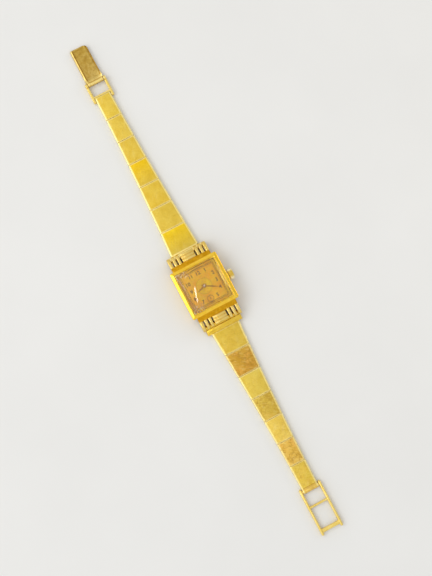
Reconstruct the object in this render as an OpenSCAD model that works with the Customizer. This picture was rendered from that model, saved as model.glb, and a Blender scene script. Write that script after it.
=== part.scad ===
// Square wristwatch on a tapering link bracelet, laid out flat and open.
// Origin: centre of the case back's flat face. +Z up through the dial, +Y to twelve, +X to the crown.

/* [Case] */
// How far the bezel stands out past the case band on each side
bezel_overhang = 0.3; // [0.1:0.05:0.5]
// Height of the bezel's top above the case back
bezel_top = 6.5; // [6.3:0.1:7.2]
// Bevel along the bezel's outer top edge
bezel_bevel = 0.4; // [0.2:0.05:0.6]
// Width of the bezel's rim round the crystal
bezel_rim = 1.2; // [1:0.05:1.35]
// Highest point of the crystal above the case back
crystal_top = 7.8; // [7.4:0.1:8.4]
// Width of the crystal's sloping border
crystal_slope_w = 1.5; // [1:0.1:2]
// Side of the square case band
band_w = 17; // [16.6:0.1:17.1]
// Underside of the bezel above the case back
band_top = 5.2; // [5.1:0.05:5.4]
// Thickness of the case back's rim
back_t = 0.5; // [0.4:0.05:0.7]
// Step from the case band in to the case back's rim
back_step = 0.4; // [0.25:0.05:0.7]
// Radius of the case's upright corners
case_corner_r = 0.6; // [0.3:0.1:1]
// Border of the case band round the dial
dial_border = 1.5; // [1.4:0.05:1.6]
// Upper face of the dial above the case back
dial_top = 4.95; // [4.9:0.05:5]
// Thickness of the dial
dial_t = 0.4; // [0.3:0.05:0.45]
// Radius of the small seconds ring
base_seconds_r = 1.6; // [1.2:0.1:1.8]
// Distance of the small seconds from the middle of the dial
base_seconds_y = 4.7; // [4.5:0.05:4.8]

/* [Lugs] */
// Width of each hood with its ribs
hood_w = 14.7; // [14.3:0.1:15.1]
// Distance of the hoods' outer ends from the middle of the case
hood_end = 14; // [13.9:0.1:14.1]
// Distance at which the slots between the ribs begin
rib_start = 10.5; // [10:0.1:11]
// Gap between two ribs
rib_gap = 0.55; // [0.4:0.05:0.7]
// Width of the four inner ribs on each side of a block
rib_w = 1.05; // [0.8:0.05:1.1]
// Width of the middle block
block_w = 4.9; // [4.5:0.1:5.2]
// Height of the ribs above the case back
rib_top = 4.35; // [4:0.05:4.6]
// Distance of the spring bars from the middle of the case
bar_y = 13.2; // [13.15:0.05:13.25]
// Height of the spring bars above the case back
bar_z = 1.2; // [1.15:0.05:1.25]
// Radius of a spring bar
bar_r = 0.4; // [0.3:0.05:0.5]
// Outer radius of the bracelet's end tubes
end_tube_r = 1.05; // [0.9:0.05:1.1]
// Length of the bracelet's end tubes
end_tube_w = 12.4; // [11.8:0.1:12.5]
// Width of the raised bar at the lower end
end_bar_w = 13.3; // [12.5:0.1:13.6]
// Height of the raised bar
end_bar_h = 2.2; // [2:0.05:2.25]

/* [Bracelet] */
// Links in each half of the bracelet
link_count = 7; // [7:1:7]
// Distance from one hinge to the next
link_pitch = 8.75; // [8:0.05:9.5]
// Width of the bracelet at the case
link_w_case = 10.5; // [9.5:0.1:11]
// Width of the bracelet at the clasp
link_w_clasp = 5.8; // [5.6:0.1:5.9]
// How fast the width falls near the case, 1 is straight
link_taper = 1.65; // [1:0.05:2]
// Thickness of a link
link_h = 1.6; // [1.6:0.05:1.8]
// Gap between two link tops
link_gap = 0.18; // [0.12:0.02:0.3]
// Bevel along a link's edges
link_bevel = 0.35; // [0.2:0.05:0.45]
// Height of the hinge pins' axis
pin_z = 0.65; // [0.62:0.01:0.7]
// Radius of the hinge pins
pin_r = 0.25; // [0.2:0.01:0.28]
// Radius of the hinge knuckles
knuckle_r = 0.5; // [0.45:0.01:0.52]
// Share of the width that a link's tongue takes
tongue_share = 0.4; // [0.3:0.05:0.5]

/* [Clasp] */
// Width inside the clasp frame's rails
frame_inner_w = 6.1; // [6.05:0.05:6.3]
// Thickness of the clasp frame's rails
frame_rail_t = 0.85; // [0.7:0.05:1]
// Length of the clasp frame's rails
frame_len = 7.6; // [7.3:0.1:8]
// Length of the flap from its hinge to its tip
flap_len = 13.9; // [13:0.1:14.2]
// Width of the flap
flap_w = 6.4; // [6.3:0.05:6.6]
// Height of the flap's side walls
flap_h = 1.5; // [1.3:0.05:1.5]
// Thickness of the flap's sheet
flap_t = 0.35; // [0.25:0.05:0.45]
// Width inside the ladder's rails
ladder_inner_w = 6.45; // [6.3:0.05:6.7]
// Thickness of the ladder's rails
ladder_rail_t = 0.85; // [0.7:0.05:1]
// Length of the ladder's rails
ladder_len = 17.4; // [16.5:0.1:18.5]
// Distance from the ladder's hinge to its cross bar
ladder_bar_y = 5.75; // [5.2:0.05:6.2]
// Distance from the ladder's hinge to the inner edge of its end bar
ladder_end_y = 13.8; // [13:0.1:14.2]
// Width of the ladder's end bar
ladder_end_t = 1.45; // [1.2:0.05:1.6]

/* [Crown] */
// Radius of the crown
crown_r = 1.9; // [1.6:0.05:2.1]
// Length of the crown
crown_len = 1.75; // [1.5:0.05:2]
// Gap between the case band and the pushed-in crown
crown_gap = 0.8; // [0.4:0.05:0.9]
// Flutes round the crown
crown_flutes = 24; // [18:1:30]
// Height of the stem above the case back
stem_z = 2.4; // [2.35:0.01:2.45]
// Distance of the stem from the middle, towards six
stem_y = 0.35; // [0:0.05:0.5]
// Radius of the winding stem
stem_r = 0.32; // [0.25:0.01:0.35]

/* [Movement] */
// Radius of the centre wheel
base_center_r = 2.625; // [2.6:0.005:2.64]
// Radius of the centre pinion
base_center_pinion_r = 0.45; // [0.4:0.01:0.46]
// Radius of the third wheel
base_third_r = 2.4; // [2.38:0.005:2.41]
// Radius of the third pinion
base_third_pinion_r = 0.35; // [0.34:0.005:0.36]
// Radius of the fourth wheel
base_fourth_r = 1.6; // [1.5:0.05:1.6]
// Radius of the fourth pinion
base_fourth_pinion_r = 0.3; // [0.29:0.005:0.31]
// Radius of the escape wheel
base_escape_r = 0.9; // [0.8:0.05:0.95]
// Radius of the escape pinion
base_escape_pinion_r = 0.22; // [0.2:0.01:0.25]
// Radius of the spring barrel
base_barrel_r = 3; // [2.8:0.05:3]
// Turns of the mainspring
mainspring_turns = 5; // [3:1:6]
// Radius of the balance wheel
base_balance_r = 1.6; // [1.4:0.05:1.65]
// Turns of the hairspring
hairspring_turns = 5; // [3:1:6]
// Distance from the middle to the minute wheel
base_motion_d = 1.8; // [1.75:0.01:1.85]

/* [Hands] */
// Length of the minute hand
minute_len = 5.2; // [4.5:0.1:5.6]
// Length of the hour hand
hour_len = 3.1; // [2.6:0.1:3.2]
// Length of the small seconds hand
seconds_len = 1.25; // [1:0.05:1.3]
// Minutes past eight that the hands show
minutes_shown = 20; // [0:1:59]

/* [Hidden] */
$fn = 64;

// Colours of the real piece
gold = [0.86, 0.68, 0.30];
pale_gold = [0.90, 0.79, 0.50];
rose_gold = [0.80, 0.58, 0.36];
steel = [0.75, 0.76, 0.78];
blued = [0.25, 0.20, 0.16];
brass = [0.80, 0.66, 0.36];
glass = [0.9, 0.9, 0.88, 0.35];

// Clearances that the fits share
running = 0.03;
side_gap = 0.1;
seat_gap = 0.05;
over = 1;

// Case stack
bezel_w = band_w + 2 * bezel_overhang;
crystal_w = bezel_w - 2 * bezel_rim;
back_w = band_w - 2 * back_step;
ledge_t = 1.9;
ledge_w = band_w - 2 * ledge_t;
dial_w = band_w - 2 * dial_border;
plate_w = dial_w - 2 * seat_gap;
plate_top = 3.95;
plate_bottom = 3.05;
dial_bottom = dial_top - dial_t;
band_hole_w = dial_w + 2 * side_gap;
bezel_ledge_w = band_hole_w;
bezel_ledge_top = band_top + 0.3;
crystal_fit_w = crystal_w - 2 * seat_gap;
crystal_wall = 0.9;
crystal_hollow_h = 0.6;
crystal_dome_r = 5 * crystal_top;
crystal_edge_top = (bezel_ledge_top + crystal_top) / 2 - 0.4;
crystal_flat = crystal_w / 2 - crystal_slope_w;
crystal_sag = pow(crystal_flat, 2) / (2 * crystal_dome_r);
back_lip_h = 0.4;
back_lip_t = 0.6;
dial_hole_r = 0.62;
dial_foot_r = 0.35;
dial_foot_at = dial_w * 0.4;
seconds_recess = 0.1;

// The movement and the small seconds grow with the dial: their base sizes are for one 14 mm wide
caliber = dial_w / 14;
center_r = base_center_r * caliber;
center_pinion_r = base_center_pinion_r * caliber;
third_r = base_third_r * caliber;
third_pinion_r = base_third_pinion_r * caliber;
fourth_r = base_fourth_r * caliber;
fourth_pinion_r = base_fourth_pinion_r * caliber;
escape_r = base_escape_r * caliber;
escape_pinion_r = base_escape_pinion_r * caliber;
barrel_r = base_barrel_r * caliber;
balance_r = base_balance_r * caliber;
motion_d = base_motion_d * caliber;
seconds_y = base_seconds_y * caliber;
seconds_r = base_seconds_r * caliber;

// Lugs: one side, then mirrored
hood_root = band_w / 2;
hood_bottom = 0.9;
pocket_top = 2.45;
pocket_start = bar_y - end_tube_r - 0.15;
hood_shoulder_top = band_top - 0.05;
cheek_r = 0.8;
cheek_t = (hood_w - end_tube_w) / 2 - 0.15;
rib_nose_r = 1.5;
bar_tip_r = 0.25;
bar_len = end_tube_w + 0.4;
slot_first = block_w / 2;
outer_rib_in = slot_first + rib_gap + 2 * (rib_w + rib_gap);
block_end = hood_end - 0.5;
block_top = rib_top - 0.15;
block_groove_r = 0.18;

// Bracelet: distances from the middle of the case
upper_start = bar_y + end_tube_r + 0.15;
lower_bar_in = bar_y + 0.85;
lower_bar_out = lower_bar_in + 1.75;
pocket_r = knuckle_r + 0.1;
link_w_spread = link_w_case - link_w_clasp;
width_step = 0.02;
function link_w(i) = width_step
    * round((link_w_clasp + link_w_spread * pow(1 - i / link_count, link_taper)) / width_step);
function upper_y(i) = upper_start - link_gap / 2 + i * link_pitch;
function lower_y(i) = lower_bar_out - link_gap / 2 + i * link_pitch;

// Clasp frame and flap
frame_reach = 0.75;
frame_hinge_y = upper_y(link_count) - frame_reach;
frame_start = frame_hinge_y - 0.85;
frame_end = frame_start + frame_len;
frame_pin_z = 0.8;
frame_rail_bottom = 0.1;
frame_rail_top = 1.45;
frame_bar_t = 0.55;
frame_outer_w = frame_inner_w + 2 * frame_rail_t;
flap_hinge_y = frame_end - 0.9;
flap_hinge_z = 1.62;
flap_roll_r = 0.6;
flap_tip_w = flap_w - 0.15;
ear_r = 0.75;

// Ladder
fold_reach = 0.95;
ladder_hinge_y = lower_y(link_count) + fold_reach;
ladder_z = 0.8;
ladder_rail_h = 1.6;
ladder_end_h = 1;
ladder_bar_r = 0.4;
ladder_start = ladder_hinge_y - 1.25;
ladder_outer_w = ladder_inner_w + 2 * ladder_rail_t;
fold_r = 0.8;
fold_w = 6.1;

// Crown and stem
crown_in = band_w / 2 + crown_gap;
stem_tail = band_w * 0.3;
stem_thread = 1.1;

// Movement: heights above the case back
bridge_bottom = 1.2;
bridge_top = 1.75;
wheel_t = 0.12;
center_wheel_z = 1.86;
third_wheel_z = 2.45;
fourth_wheel_z = 2.76;
escape_wheel_z = 2.2;
barrel_bottom = 2.1;
barrel_h = 0.86;
balance_z = 2.62;
balance_t = 0.2;
hairspring_z = 2.4;
arbor_r = 0.12;
mesh_gap = 0.04;
tooth_h = 0.12;

// Movement: places of the arbors
third_d = center_r + third_pinion_r;
fourth_d = third_r + fourth_pinion_r;
third_y = (pow(fourth_d, 2) - pow(third_d, 2) - pow(seconds_y, 2)) / (2 * seconds_y);
third_x = sqrt(pow(third_d, 2) - pow(third_y, 2));
barrel_d = barrel_r + center_pinion_r;
barrel_angle = 135;
barrel_at = barrel_d * [cos(barrel_angle), sin(barrel_angle)];
center_at = [0, 0];
third_at = [third_x, third_y];
fourth_at = [0, -seconds_y];
escape_d = fourth_r + escape_pinion_r;
escape_angle = 155;
escape_at = fourth_at + escape_d * [cos(escape_angle), sin(escape_angle)];
fork_angle = 185;
fork_d = escape_r + 0.45;
fork_at = escape_at + fork_d * [cos(fork_angle), sin(fork_angle)];
balance_d = balance_r + 0.25;
balance_angle = 150;
balance_at = fork_at + balance_d * [cos(balance_angle), sin(balance_angle)];
motion_angle = 45;
minute_at = motion_d * [cos(motion_angle), sin(motion_angle)];

// Motion work: three to one, then four to one
cannon_r = motion_d / 4;
minute_r = motion_d * 3 / 4;
minute_pinion_r = motion_d / 5;
hour_r = motion_d * 4 / 5;
cannon_tube_r = 0.3;
hour_tube_r = 0.48;
motion_z = 4.03;
hour_wheel_z = 4.24;
hour_hand_z = 5.16;
minute_hand_z = 5.42;
seconds_hand_z = 5.02;
hand_t = 0.1;
minute_turn = -minutes_shown * 6;
hour_turn = -(8 + minutes_shown / 60) * 30;

// A square-cornered plate with round upright corners, centred in x and y
module rounded_plate(w, l, h, r) {
    translate([-w / 2 + r, -l / 2, 0]) cube([w - 2 * r, l, h]);
    translate([-w / 2, -l / 2 + r, 0]) cube([w, l - 2 * r, h]);
    for (x = [-1, 1], y = [-1, 1])
        translate([x * (w / 2 - r), y * (l / 2 - r), 0]) cylinder(h = h, r = r, $fn = 48);
}

// A plain square prism, centred in x and y, between two heights
module square_prism(w, z0, z1) {
    translate([-w / 2, -w / 2, z0]) cube([w, w, z1 - z0]);
}

// Four planes that slope inwards from a square of side w at height z
module edge_slopes(w, z, run, rise) {
    slope = atan2(rise, run);
    for (turn = [0:90:270])
        rotate([0, 0, turn]) translate([w / 2, -w, z]) rotate([0, slope - 90, 0]) cube([w, 2 * w, w]);
}

// A cylinder along x, centred
module rod_x(r, w) {
    rotate([0, 90, 0]) cylinder(h = w, r = r, center = true);
}

// A toothed wheel with its tips just inside the given radius
module toothed(r, h, teeth) {
    tip = r - mesh_gap / 2;
    linear_extrude(height = h)
        polygon([for (i = [0:2 * teeth - 1])
            (i % 2 == 0 ? tip : tip - tooth_h) * [cos(i * 180 / teeth), sin(i * 180 / teeth)]]);
}

// A wheel with crossed-out windows between its arms
module train_wheel(r, teeth, arms) {
    difference() {
        toothed(r, wheel_t, teeth);
        difference() {
            translate([0, 0, -over]) cylinder(h = 2 * over + wheel_t, r = r * 0.78);
            translate([0, 0, -over]) cylinder(h = 2 * over + wheel_t, r = r * 0.28);
            for (a = [0:180 / arms:179])
                rotate([0, 0, a]) translate([-r, -r * 0.07, -over])
                    cube([2 * r, r * 0.14, 2 * over + wheel_t]);
        }
    }
}

// An upright arbor between two heights
module arbor(z0, z1, r) {
    translate([0, 0, z0]) cylinder(h = z1 - z0, r = r);
}

// A flat spiral strip that starts and ends at the given radii
module spiral(r0, r1, turns, strip, h) {
    steps = turns * 16;
    function at(i) = r0 + (r1 - r0) * i / steps;
    linear_extrude(height = h)
        polygon(concat(
            [for (i = [0:steps]) at(i) * [cos(i * 22.5), sin(i * 22.5)]],
            [for (i = [steps:-1:0]) (at(i) + strip) * [cos(i * 22.5), sin(i * 22.5)]]));
}

module case_band() {
    color(gold) difference() {
        translate([0, 0, back_t]) rounded_plate(band_w, band_w, band_top - back_t, case_corner_r);
        square_prism(ledge_w, 0, plate_bottom + seat_gap);
        square_prism(band_hole_w, plate_bottom, band_top + over);
        translate([band_w / 2, -stem_y, stem_z]) rod_x(stem_r + running, 2 * (band_w - ledge_w));
    }
}

module case_back() {
    lip_w = ledge_w - 2 * seat_gap;
    color(pale_gold) {
        rounded_plate(back_w, back_w, back_t, case_corner_r);
        difference() {
            square_prism(lip_w, back_t - seat_gap, back_t + back_lip_h);
            square_prism(lip_w - 2 * back_lip_t, 0, back_t + over);
        }
    }
}

module bezel() {
    color(gold) difference() {
        translate([0, 0, band_top])
            rounded_plate(bezel_w, bezel_w, bezel_top - band_top, case_corner_r);
        square_prism(bezel_ledge_w, 0, bezel_top + over);
        square_prism(crystal_w, bezel_ledge_top, bezel_top + over);
        edge_slopes(bezel_w, bezel_top - bezel_bevel, bezel_bevel, bezel_bevel);
    }
}

module crystal() {
    slope_rise = crystal_top - crystal_sag - crystal_edge_top;
    hollow_w = crystal_fit_w - 2 * crystal_wall;
    color(glass) difference() {
        intersection() {
            translate([0, 0, bezel_ledge_top])
                rounded_plate(crystal_fit_w, crystal_fit_w, crystal_top, case_corner_r / 2);
            translate([0, 0, crystal_top - crystal_dome_r]) sphere(r = crystal_dome_r, $fn = 180);
        }
        edge_slopes(crystal_fit_w, crystal_edge_top, crystal_slope_w, slope_rise);
        square_prism(hollow_w, 0, bezel_ledge_top + crystal_hollow_h);
    }
}

module dial() {
    color(rose_gold) difference() {
        union() {
            translate([0, 0, dial_bottom]) rounded_plate(dial_w, dial_w, dial_t, 0.4);
            for (side = [-1, 1])
                translate([side * dial_foot_at, side * dial_foot_at, plate_top])
                    cylinder(h = dial_bottom - plate_top + seat_gap, r = dial_foot_r);
        }
        arbor(0, dial_top + over, dial_hole_r);
        translate(fourth_at) arbor(dial_top - seconds_recess, dial_top + over, seconds_r);
        translate(fourth_at) arbor(0, dial_top + over, arbor_r + running);
    }
}

// Side view of a hood: out from the band, down over the nose and back under the pocket
module hood_profile() {
    slope_end = rib_start - 0.1;
    nose_y = hood_end - rib_nose_r;
    nose_z = rib_top - rib_nose_r - 0.1;
    polygon(concat(
        [[hood_root, hood_bottom], [hood_root, hood_shoulder_top],
         [bezel_w / 2, hood_shoulder_top], [slope_end, rib_top]],
        [for (a = [90:-15:0]) [nose_y + rib_nose_r * cos(a), nose_z + rib_nose_r * sin(a)]],
        [[hood_end, pocket_top], [pocket_start, pocket_top], [pocket_start, hood_bottom]]));
}

// A slab of the hood between two distances along x, on the +Y side
module hood_slab(x0, x1) {
    translate([x0, 0, 0]) rotate([90, 0, 90]) linear_extrude(height = x1 - x0) hood_profile();
}

module hood() {
    slot_l = hood_end - rib_start + over;
    difference() {
        union() {
            hood_slab(-hood_w / 2, hood_w / 2);
            for (side = [-1, 1])
                translate([side * (hood_w - cheek_t) / 2, bar_y, 0]) {
                    translate([0, 0, bar_z]) rod_x(cheek_r, cheek_t);
                    translate([-cheek_t / 2, -cheek_r, bar_z])
                        cube([cheek_t, 1.6 * cheek_r, pocket_top - bar_z + seat_gap]);
                }
        }
        translate([-slot_first - rib_gap, rib_start, 0])
            cube([2 * (slot_first + rib_gap), slot_l, bezel_top]);
        for (side = [-1, 1], i = [1, 2])
            translate([side * (slot_first + i * (rib_w + rib_gap) + rib_gap / 2) - rib_gap / 2, rib_start, 0])
                cube([rib_gap, slot_l, bezel_top]);
        translate([0, bar_y, bar_z]) rod_x(bar_tip_r + running, hood_w + over);
    }
}

module lug_hoods() {
    color(gold) for (turn = [0, 180]) rotate([0, 0, turn]) hood();
}

// The stepped block between the ribs, seated against the shoulder
module lug_block() {
    difference() {
        intersection() {
            hood_slab(-block_w / 2, block_w / 2);
            translate([-block_w / 2, rib_start, pocket_top])
                cube([block_w, block_end - rib_start, block_top - pocket_top]);
        }
        for (y = [rib_start + 0.9, rib_start + 1.7])
            translate([0, y, block_top]) rod_x(block_groove_r, block_w + over);
    }
}

module lug_blocks() {
    color(pale_gold) for (turn = [0, 180]) rotate([0, 0, turn]) lug_block();
}

module spring_bars() {
    color(steel) for (side = [-1, 1])
        translate([0, side * bar_y, bar_z]) {
            rod_x(bar_r, bar_len - 0.4);
            rod_x(bar_tip_r, bar_len + 2 * cheek_t - 0.6);
        }
}

// The end tube round a spring bar, on the +Y side
module end_tube() {
    difference() {
        translate([0, bar_y, bar_z]) rod_x(end_tube_r, end_tube_w);
        translate([0, bar_y, bar_z]) rod_x(bar_r + running, end_tube_w + over);
    }
}

// The raised cross bar of the lower half, with its tube
module lower_end_bar() {
    ridge = 0.35;
    bar_l = lower_bar_out - lower_bar_in;
    color(pale_gold) rotate([0, 0, 180]) {
        end_tube();
        difference() {
            union() {
                translate([-end_bar_w / 2, lower_bar_in, 0.2])
                    cube([end_bar_w, bar_l, end_bar_h - ridge - 0.2]);
                translate([-end_bar_w / 2, lower_bar_in, 0.2])
                    cube([end_bar_w, bar_l * 0.65, end_bar_h - 0.2]);
                translate([-end_tube_w / 2, bar_y + bar_r * 2, 0.3])
                    cube([end_tube_w, lower_bar_in - bar_y - bar_r * 2 + seat_gap, 1.4]);
            }
            for (side = [-1, 1])
                translate([side * end_bar_w / 2, 0, end_bar_h]) rotate([0, 45, 0])
                    cube([ridge * 1.4, 4 * bar_y, ridge * 1.4], center = true);
            translate([0, bar_y, bar_z]) rod_x(bar_r + running, end_bar_w + over);
        }
    }
}

// The outline of one link from width w0 at y = a to width w1 at y = b, with bevelled long edges
module link_blank(w0, w1, a, b) {
    lean = atan2((w0 - w1) / 2, b - a);
    difference() {
        linear_extrude(height = link_h)
            polygon([[-w0 / 2, a], [w0 / 2, a], [w1 / 2, b], [-w1 / 2, b]]);
        for (side = [-1, 1])
            translate([side * w0 / 2, a, link_h]) rotate([0, 0, side * lean]) rotate([0, 45, 0])
                cube([link_bevel * sqrt(2), 4 * (b - a), link_bevel * sqrt(2)], center = true);
        for (y = [a, b])
            translate([0, y, link_h]) rotate([45, 0, 0])
                cube([2 * w0, link_bevel / 3, link_bevel / 3], center = true);
    }
}

// Room for a neighbour's knuckles: round the pin and open below it
module knuckle_room(x0, x1, y, toward) {
    translate([(x0 + x1) / 2, y, pin_z]) rod_x(pocket_r, x1 - x0);
    translate([x0, toward > 0 ? y - seat_gap : y - pocket_r, -over])
        cube([x1 - x0, pocket_r + seat_gap, over + pin_z]);
}

// A knuckle with its web back to the link that carries it
module knuckle(w, y, toward) {
    translate([0, y, pin_z]) rod_x(knuckle_r, w);
    translate([-w / 2, toward > 0 ? y : y - pocket_r - seat_gap, pin_z - knuckle_r])
        cube([w, pocket_r + seat_gap, knuckle_r]);
}

function tongue_w(i) = width_step * round(tongue_share * link_w(i) / width_step);

// One link between hinge i-1 and hinge i, whose hinges lie at y0 and y1 from the case.
// A fork holds the pin of the hinge nearer the case, and a tongue reaches the next one.
module link(i, y0, y1, fork, tongue) {
    w0 = link_w(i - 1);
    w1 = link_w(i);
    t0 = tongue_w(i - 1) + 2 * side_gap;
    t1 = tongue_w(i);
    difference() {
        union() {
            difference() {
                link_blank(w0, w1, y0 + link_gap / 2, y1 - link_gap / 2);
                if (tongue) for (side = [-1, 1])
                    knuckle_room(side > 0 ? t1 / 2 : -w1, side > 0 ? w1 : -t1 / 2, y1, -1);
            }
            if (fork) for (side = [-1, 1])
                translate([side * (w0 - link_bevel + t0) / 4, 0, 0])
                    knuckle((w0 - link_bevel - t0) / 2, y0, 1);
            if (tongue) knuckle(t1, y1, -1);
        }
        if (fork) knuckle_room(-t0 / 2, t0 / 2, y0, 1);
        if (fork) translate([0, y0, pin_z]) rod_x(pin_r + running, 2 * w0);
        if (tongue) translate([0, y1, pin_z]) rod_x(pin_r + running, 2 * w1);
    }
}

// The pin of the hinge at the case end of link i
module link_pin(i, y) {
    color(steel) translate([0, y, pin_z]) rod_x(pin_r, link_w(i - 1) - 2 * link_bevel);
}

// Upper links: the first hangs on the spring bar, the last ends between the frame's rails
module upper_link(i) {
    first = i == 1;
    last = i == link_count;
    end_y = frame_hinge_y + frame_reach + link_gap / 2;
    color(gold) difference() {
        union() {
            link(i, upper_y(i - 1), last ? end_y : upper_y(i), !first, !last);
            if (first) {
                end_tube();
                translate([-link_w_case / 2 + link_bevel, bar_y + 2 * bar_r, 0.25])
                    cube([link_w_case - 2 * link_bevel, upper_start - bar_y - 2 * bar_r + seat_gap, 1.3]);
            }
        }
        if (last) translate([0, frame_hinge_y, frame_pin_z]) rod_x(pin_r + running, link_w_case);
        if (last) difference() {
            translate([-link_w_case / 2, frame_hinge_y, -over])
                cube([link_w_case, 2 * frame_reach, over + frame_pin_z]);
            translate([0, frame_hinge_y, frame_pin_z]) rod_x(frame_pin_z, link_w_case + over);
        }
    }
}

// Lower links: the first is soldered to the raised bar, the last folds round the ladder's hinge bar
module lower_link(i) {
    first = i == 1;
    last = i == link_count;
    plate_end = ladder_hinge_y - 0.75 + link_gap / 2;
    color(gold) rotate([0, 0, 180]) difference() {
        union() {
            link(i, lower_y(i - 1), last ? plate_end : lower_y(i), !first, !last);
            if (last) {
                translate([0, ladder_hinge_y, ladder_z]) rod_x(fold_r, fold_w);
                translate([-fold_w / 2 + 0.2, plate_end - 0.4, 0.2])
                    cube([fold_w - 0.4, ladder_hinge_y - plate_end, 1.3]);
            }
        }
        if (last) translate([0, ladder_hinge_y, ladder_z]) rod_x(ladder_bar_r + seat_gap, 2 * fold_w);
    }
}

module upper_pin(i) {
    if (i < link_count) link_pin(i + 1, upper_y(i));
    else color(steel) translate([0, frame_hinge_y, frame_pin_z])
        rod_x(pin_r, frame_outer_w - 0.1);
}

module lower_pin(i) {
    rotate([0, 0, 180]) link_pin(i + 1, lower_y(i));
}

// One rail with round ends between two distances, bottom and top heights
module rail(x, t, y0, y1, z0, z1) {
    r = (z1 - z0) / 2;
    translate([x - t / 2, y0 + r, z0]) cube([t, y1 - y0 - 2 * r, z1 - z0]);
    for (y = [y0 + r, y1 - r]) translate([x, y, z0 + r]) rod_x(r, t);
}

module clasp_frame() {
    rail_x = (frame_inner_w + frame_rail_t) / 2;
    bar_in = frame_hinge_y + frame_pin_z + seat_gap;
    color(pale_gold) difference() {
        union() {
            for (side = [-1, 1]) {
                rail(side * rail_x, frame_rail_t, frame_start, frame_end,
                     frame_rail_bottom, frame_rail_top);
                translate([side * rail_x, flap_hinge_y, flap_hinge_z]) rod_x(ear_r, frame_rail_t);
            }
            translate([-frame_inner_w / 2 - seat_gap, bar_in, frame_rail_bottom + 0.1])
                cube([frame_inner_w + 2 * seat_gap, frame_bar_t, frame_rail_top - frame_rail_bottom - 0.1]);
        }
        translate([0, frame_hinge_y, frame_pin_z]) rod_x(pin_r, frame_outer_w + over);
        translate([0, flap_hinge_y, flap_hinge_z]) rod_x(pin_r, frame_outer_w + over);
    }
}

module flap_pin() {
    color(steel) translate([0, flap_hinge_y, flap_hinge_z]) rod_x(pin_r, frame_outer_w - 0.1);
}

// The flap: an open channel, rolled round its hinge pin at one end
module clasp_flap() {
    roll_w = frame_inner_w - 2 * side_gap;
    tip_y = flap_hinge_y + flap_len;
    wall_y = frame_end + 0.15;
    color(gold) difference() {
        union() {
            difference() {
                linear_extrude(height = flap_h) polygon([
                    [-flap_w / 2, wall_y], [flap_w / 2, wall_y], [flap_tip_w / 2, tip_y - 0.6],
                    [flap_tip_w / 2 - 0.6, tip_y], [-flap_tip_w / 2 + 0.6, tip_y],
                    [-flap_tip_w / 2, tip_y - 0.6]]);
                translate([0, 0, flap_t]) linear_extrude(height = flap_h) polygon([
                    [-flap_w / 2 + flap_t, wall_y - over], [flap_w / 2 - flap_t, wall_y - over],
                    [flap_tip_w / 2 - flap_t, tip_y + over], [-flap_tip_w / 2 + flap_t, tip_y + over]]);
            }
            translate([-roll_w / 2, flap_hinge_y, 0])
                cube([roll_w, wall_y - flap_hinge_y + seat_gap, flap_t]);
            translate([-roll_w / 2, flap_hinge_y - flap_t, 0])
                cube([roll_w, 2 * flap_t, flap_hinge_z]);
            translate([0, flap_hinge_y, flap_hinge_z]) rod_x(flap_roll_r, roll_w);
        }
        translate([0, flap_hinge_y, flap_hinge_z]) rod_x(pin_r + running, roll_w + over);
    }
}

// The ladder: two rails, the hinge bar inside the fold, one cross bar and the end bar
module ladder() {
    rail_x = (ladder_inner_w + ladder_rail_t) / 2;
    z0 = ladder_z - ladder_rail_h / 2;
    span = ladder_inner_w + 2 * seat_gap;
    color(pale_gold) rotate([0, 0, 180]) {
        for (side = [-1, 1])
            rail(side * rail_x, ladder_rail_t, ladder_start, ladder_start + ladder_len,
                 z0, z0 + ladder_rail_h);
        for (y = [0, ladder_bar_y])
            translate([0, ladder_hinge_y + y, ladder_z]) rod_x(ladder_bar_r, span);
        translate([-span / 2, ladder_hinge_y + ladder_end_y, ladder_z - ladder_end_h / 2])
            cube([span, ladder_end_t, ladder_end_h]);
    }
}

module mainplate() {
    color(brass) difference() {
        union() {
            translate([0, 0, plate_bottom + seat_gap])
                rounded_plate(plate_w, plate_w, plate_top - plate_bottom - seat_gap, 1.2);
            translate(minute_at) arbor(plate_top - over / 4, hour_wheel_z + wheel_t + 0.1, arbor_r);
        }
        for (at = [third_at, escape_at, fork_at, balance_at])
            translate(at) arbor(0, plate_bottom + 0.55, arbor_r + running);
        for (at = [center_at, fourth_at])
            translate(at) arbor(0, plate_top + over, arbor_r + running);
        translate(barrel_at) arbor(0, plate_bottom + 0.55, 2 * arbor_r + running);
    }
}

// Flat outline of the bridges, within the ledge opening
bridge_inset = 0.45;
bridge_edge = ledge_w / 2 - bridge_inset;
cock_right = balance_at[0] + balance_r / 2;
cock_top = balance_at[1] + balance_r * 1.2;
cock_side = balance_r * 1.5;
bridge_post = 0.9;

module train_bridge() {
    color(brass) difference() {
        union() {
            translate([0, 0, bridge_bottom]) linear_extrude(height = bridge_top - bridge_bottom)
                polygon([[-bridge_edge, cock_top + 0.2], [cock_right + 0.2, cock_top + 0.2],
                         [cock_right + 0.2, -bridge_edge], [bridge_edge, -bridge_edge],
                         [bridge_edge, bridge_edge], [-bridge_edge, bridge_edge]]);
            for (at = [[1, -1], [1, 1]])
                translate([at[0] * (bridge_edge - bridge_post / 2) - bridge_post / 2,
                           at[1] * (bridge_edge - bridge_post / 2) - bridge_post / 2, bridge_bottom])
                    cube([bridge_post, bridge_post, plate_bottom + seat_gap - bridge_bottom]);
            translate([-bridge_edge, -bridge_post, bridge_bottom])
                cube([bridge_post, bridge_post, plate_bottom + seat_gap - bridge_bottom]);
        }
        for (at = [center_at, third_at, fourth_at, escape_at, fork_at])
            translate(at) arbor(0, bridge_top + over, arbor_r + running);
        translate(barrel_at) arbor(0, bridge_top + over, 2 * arbor_r + running);
        for (at = screw_at) translate(at) arbor(0, plate_bottom + over, screw_r);
    }
}

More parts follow.
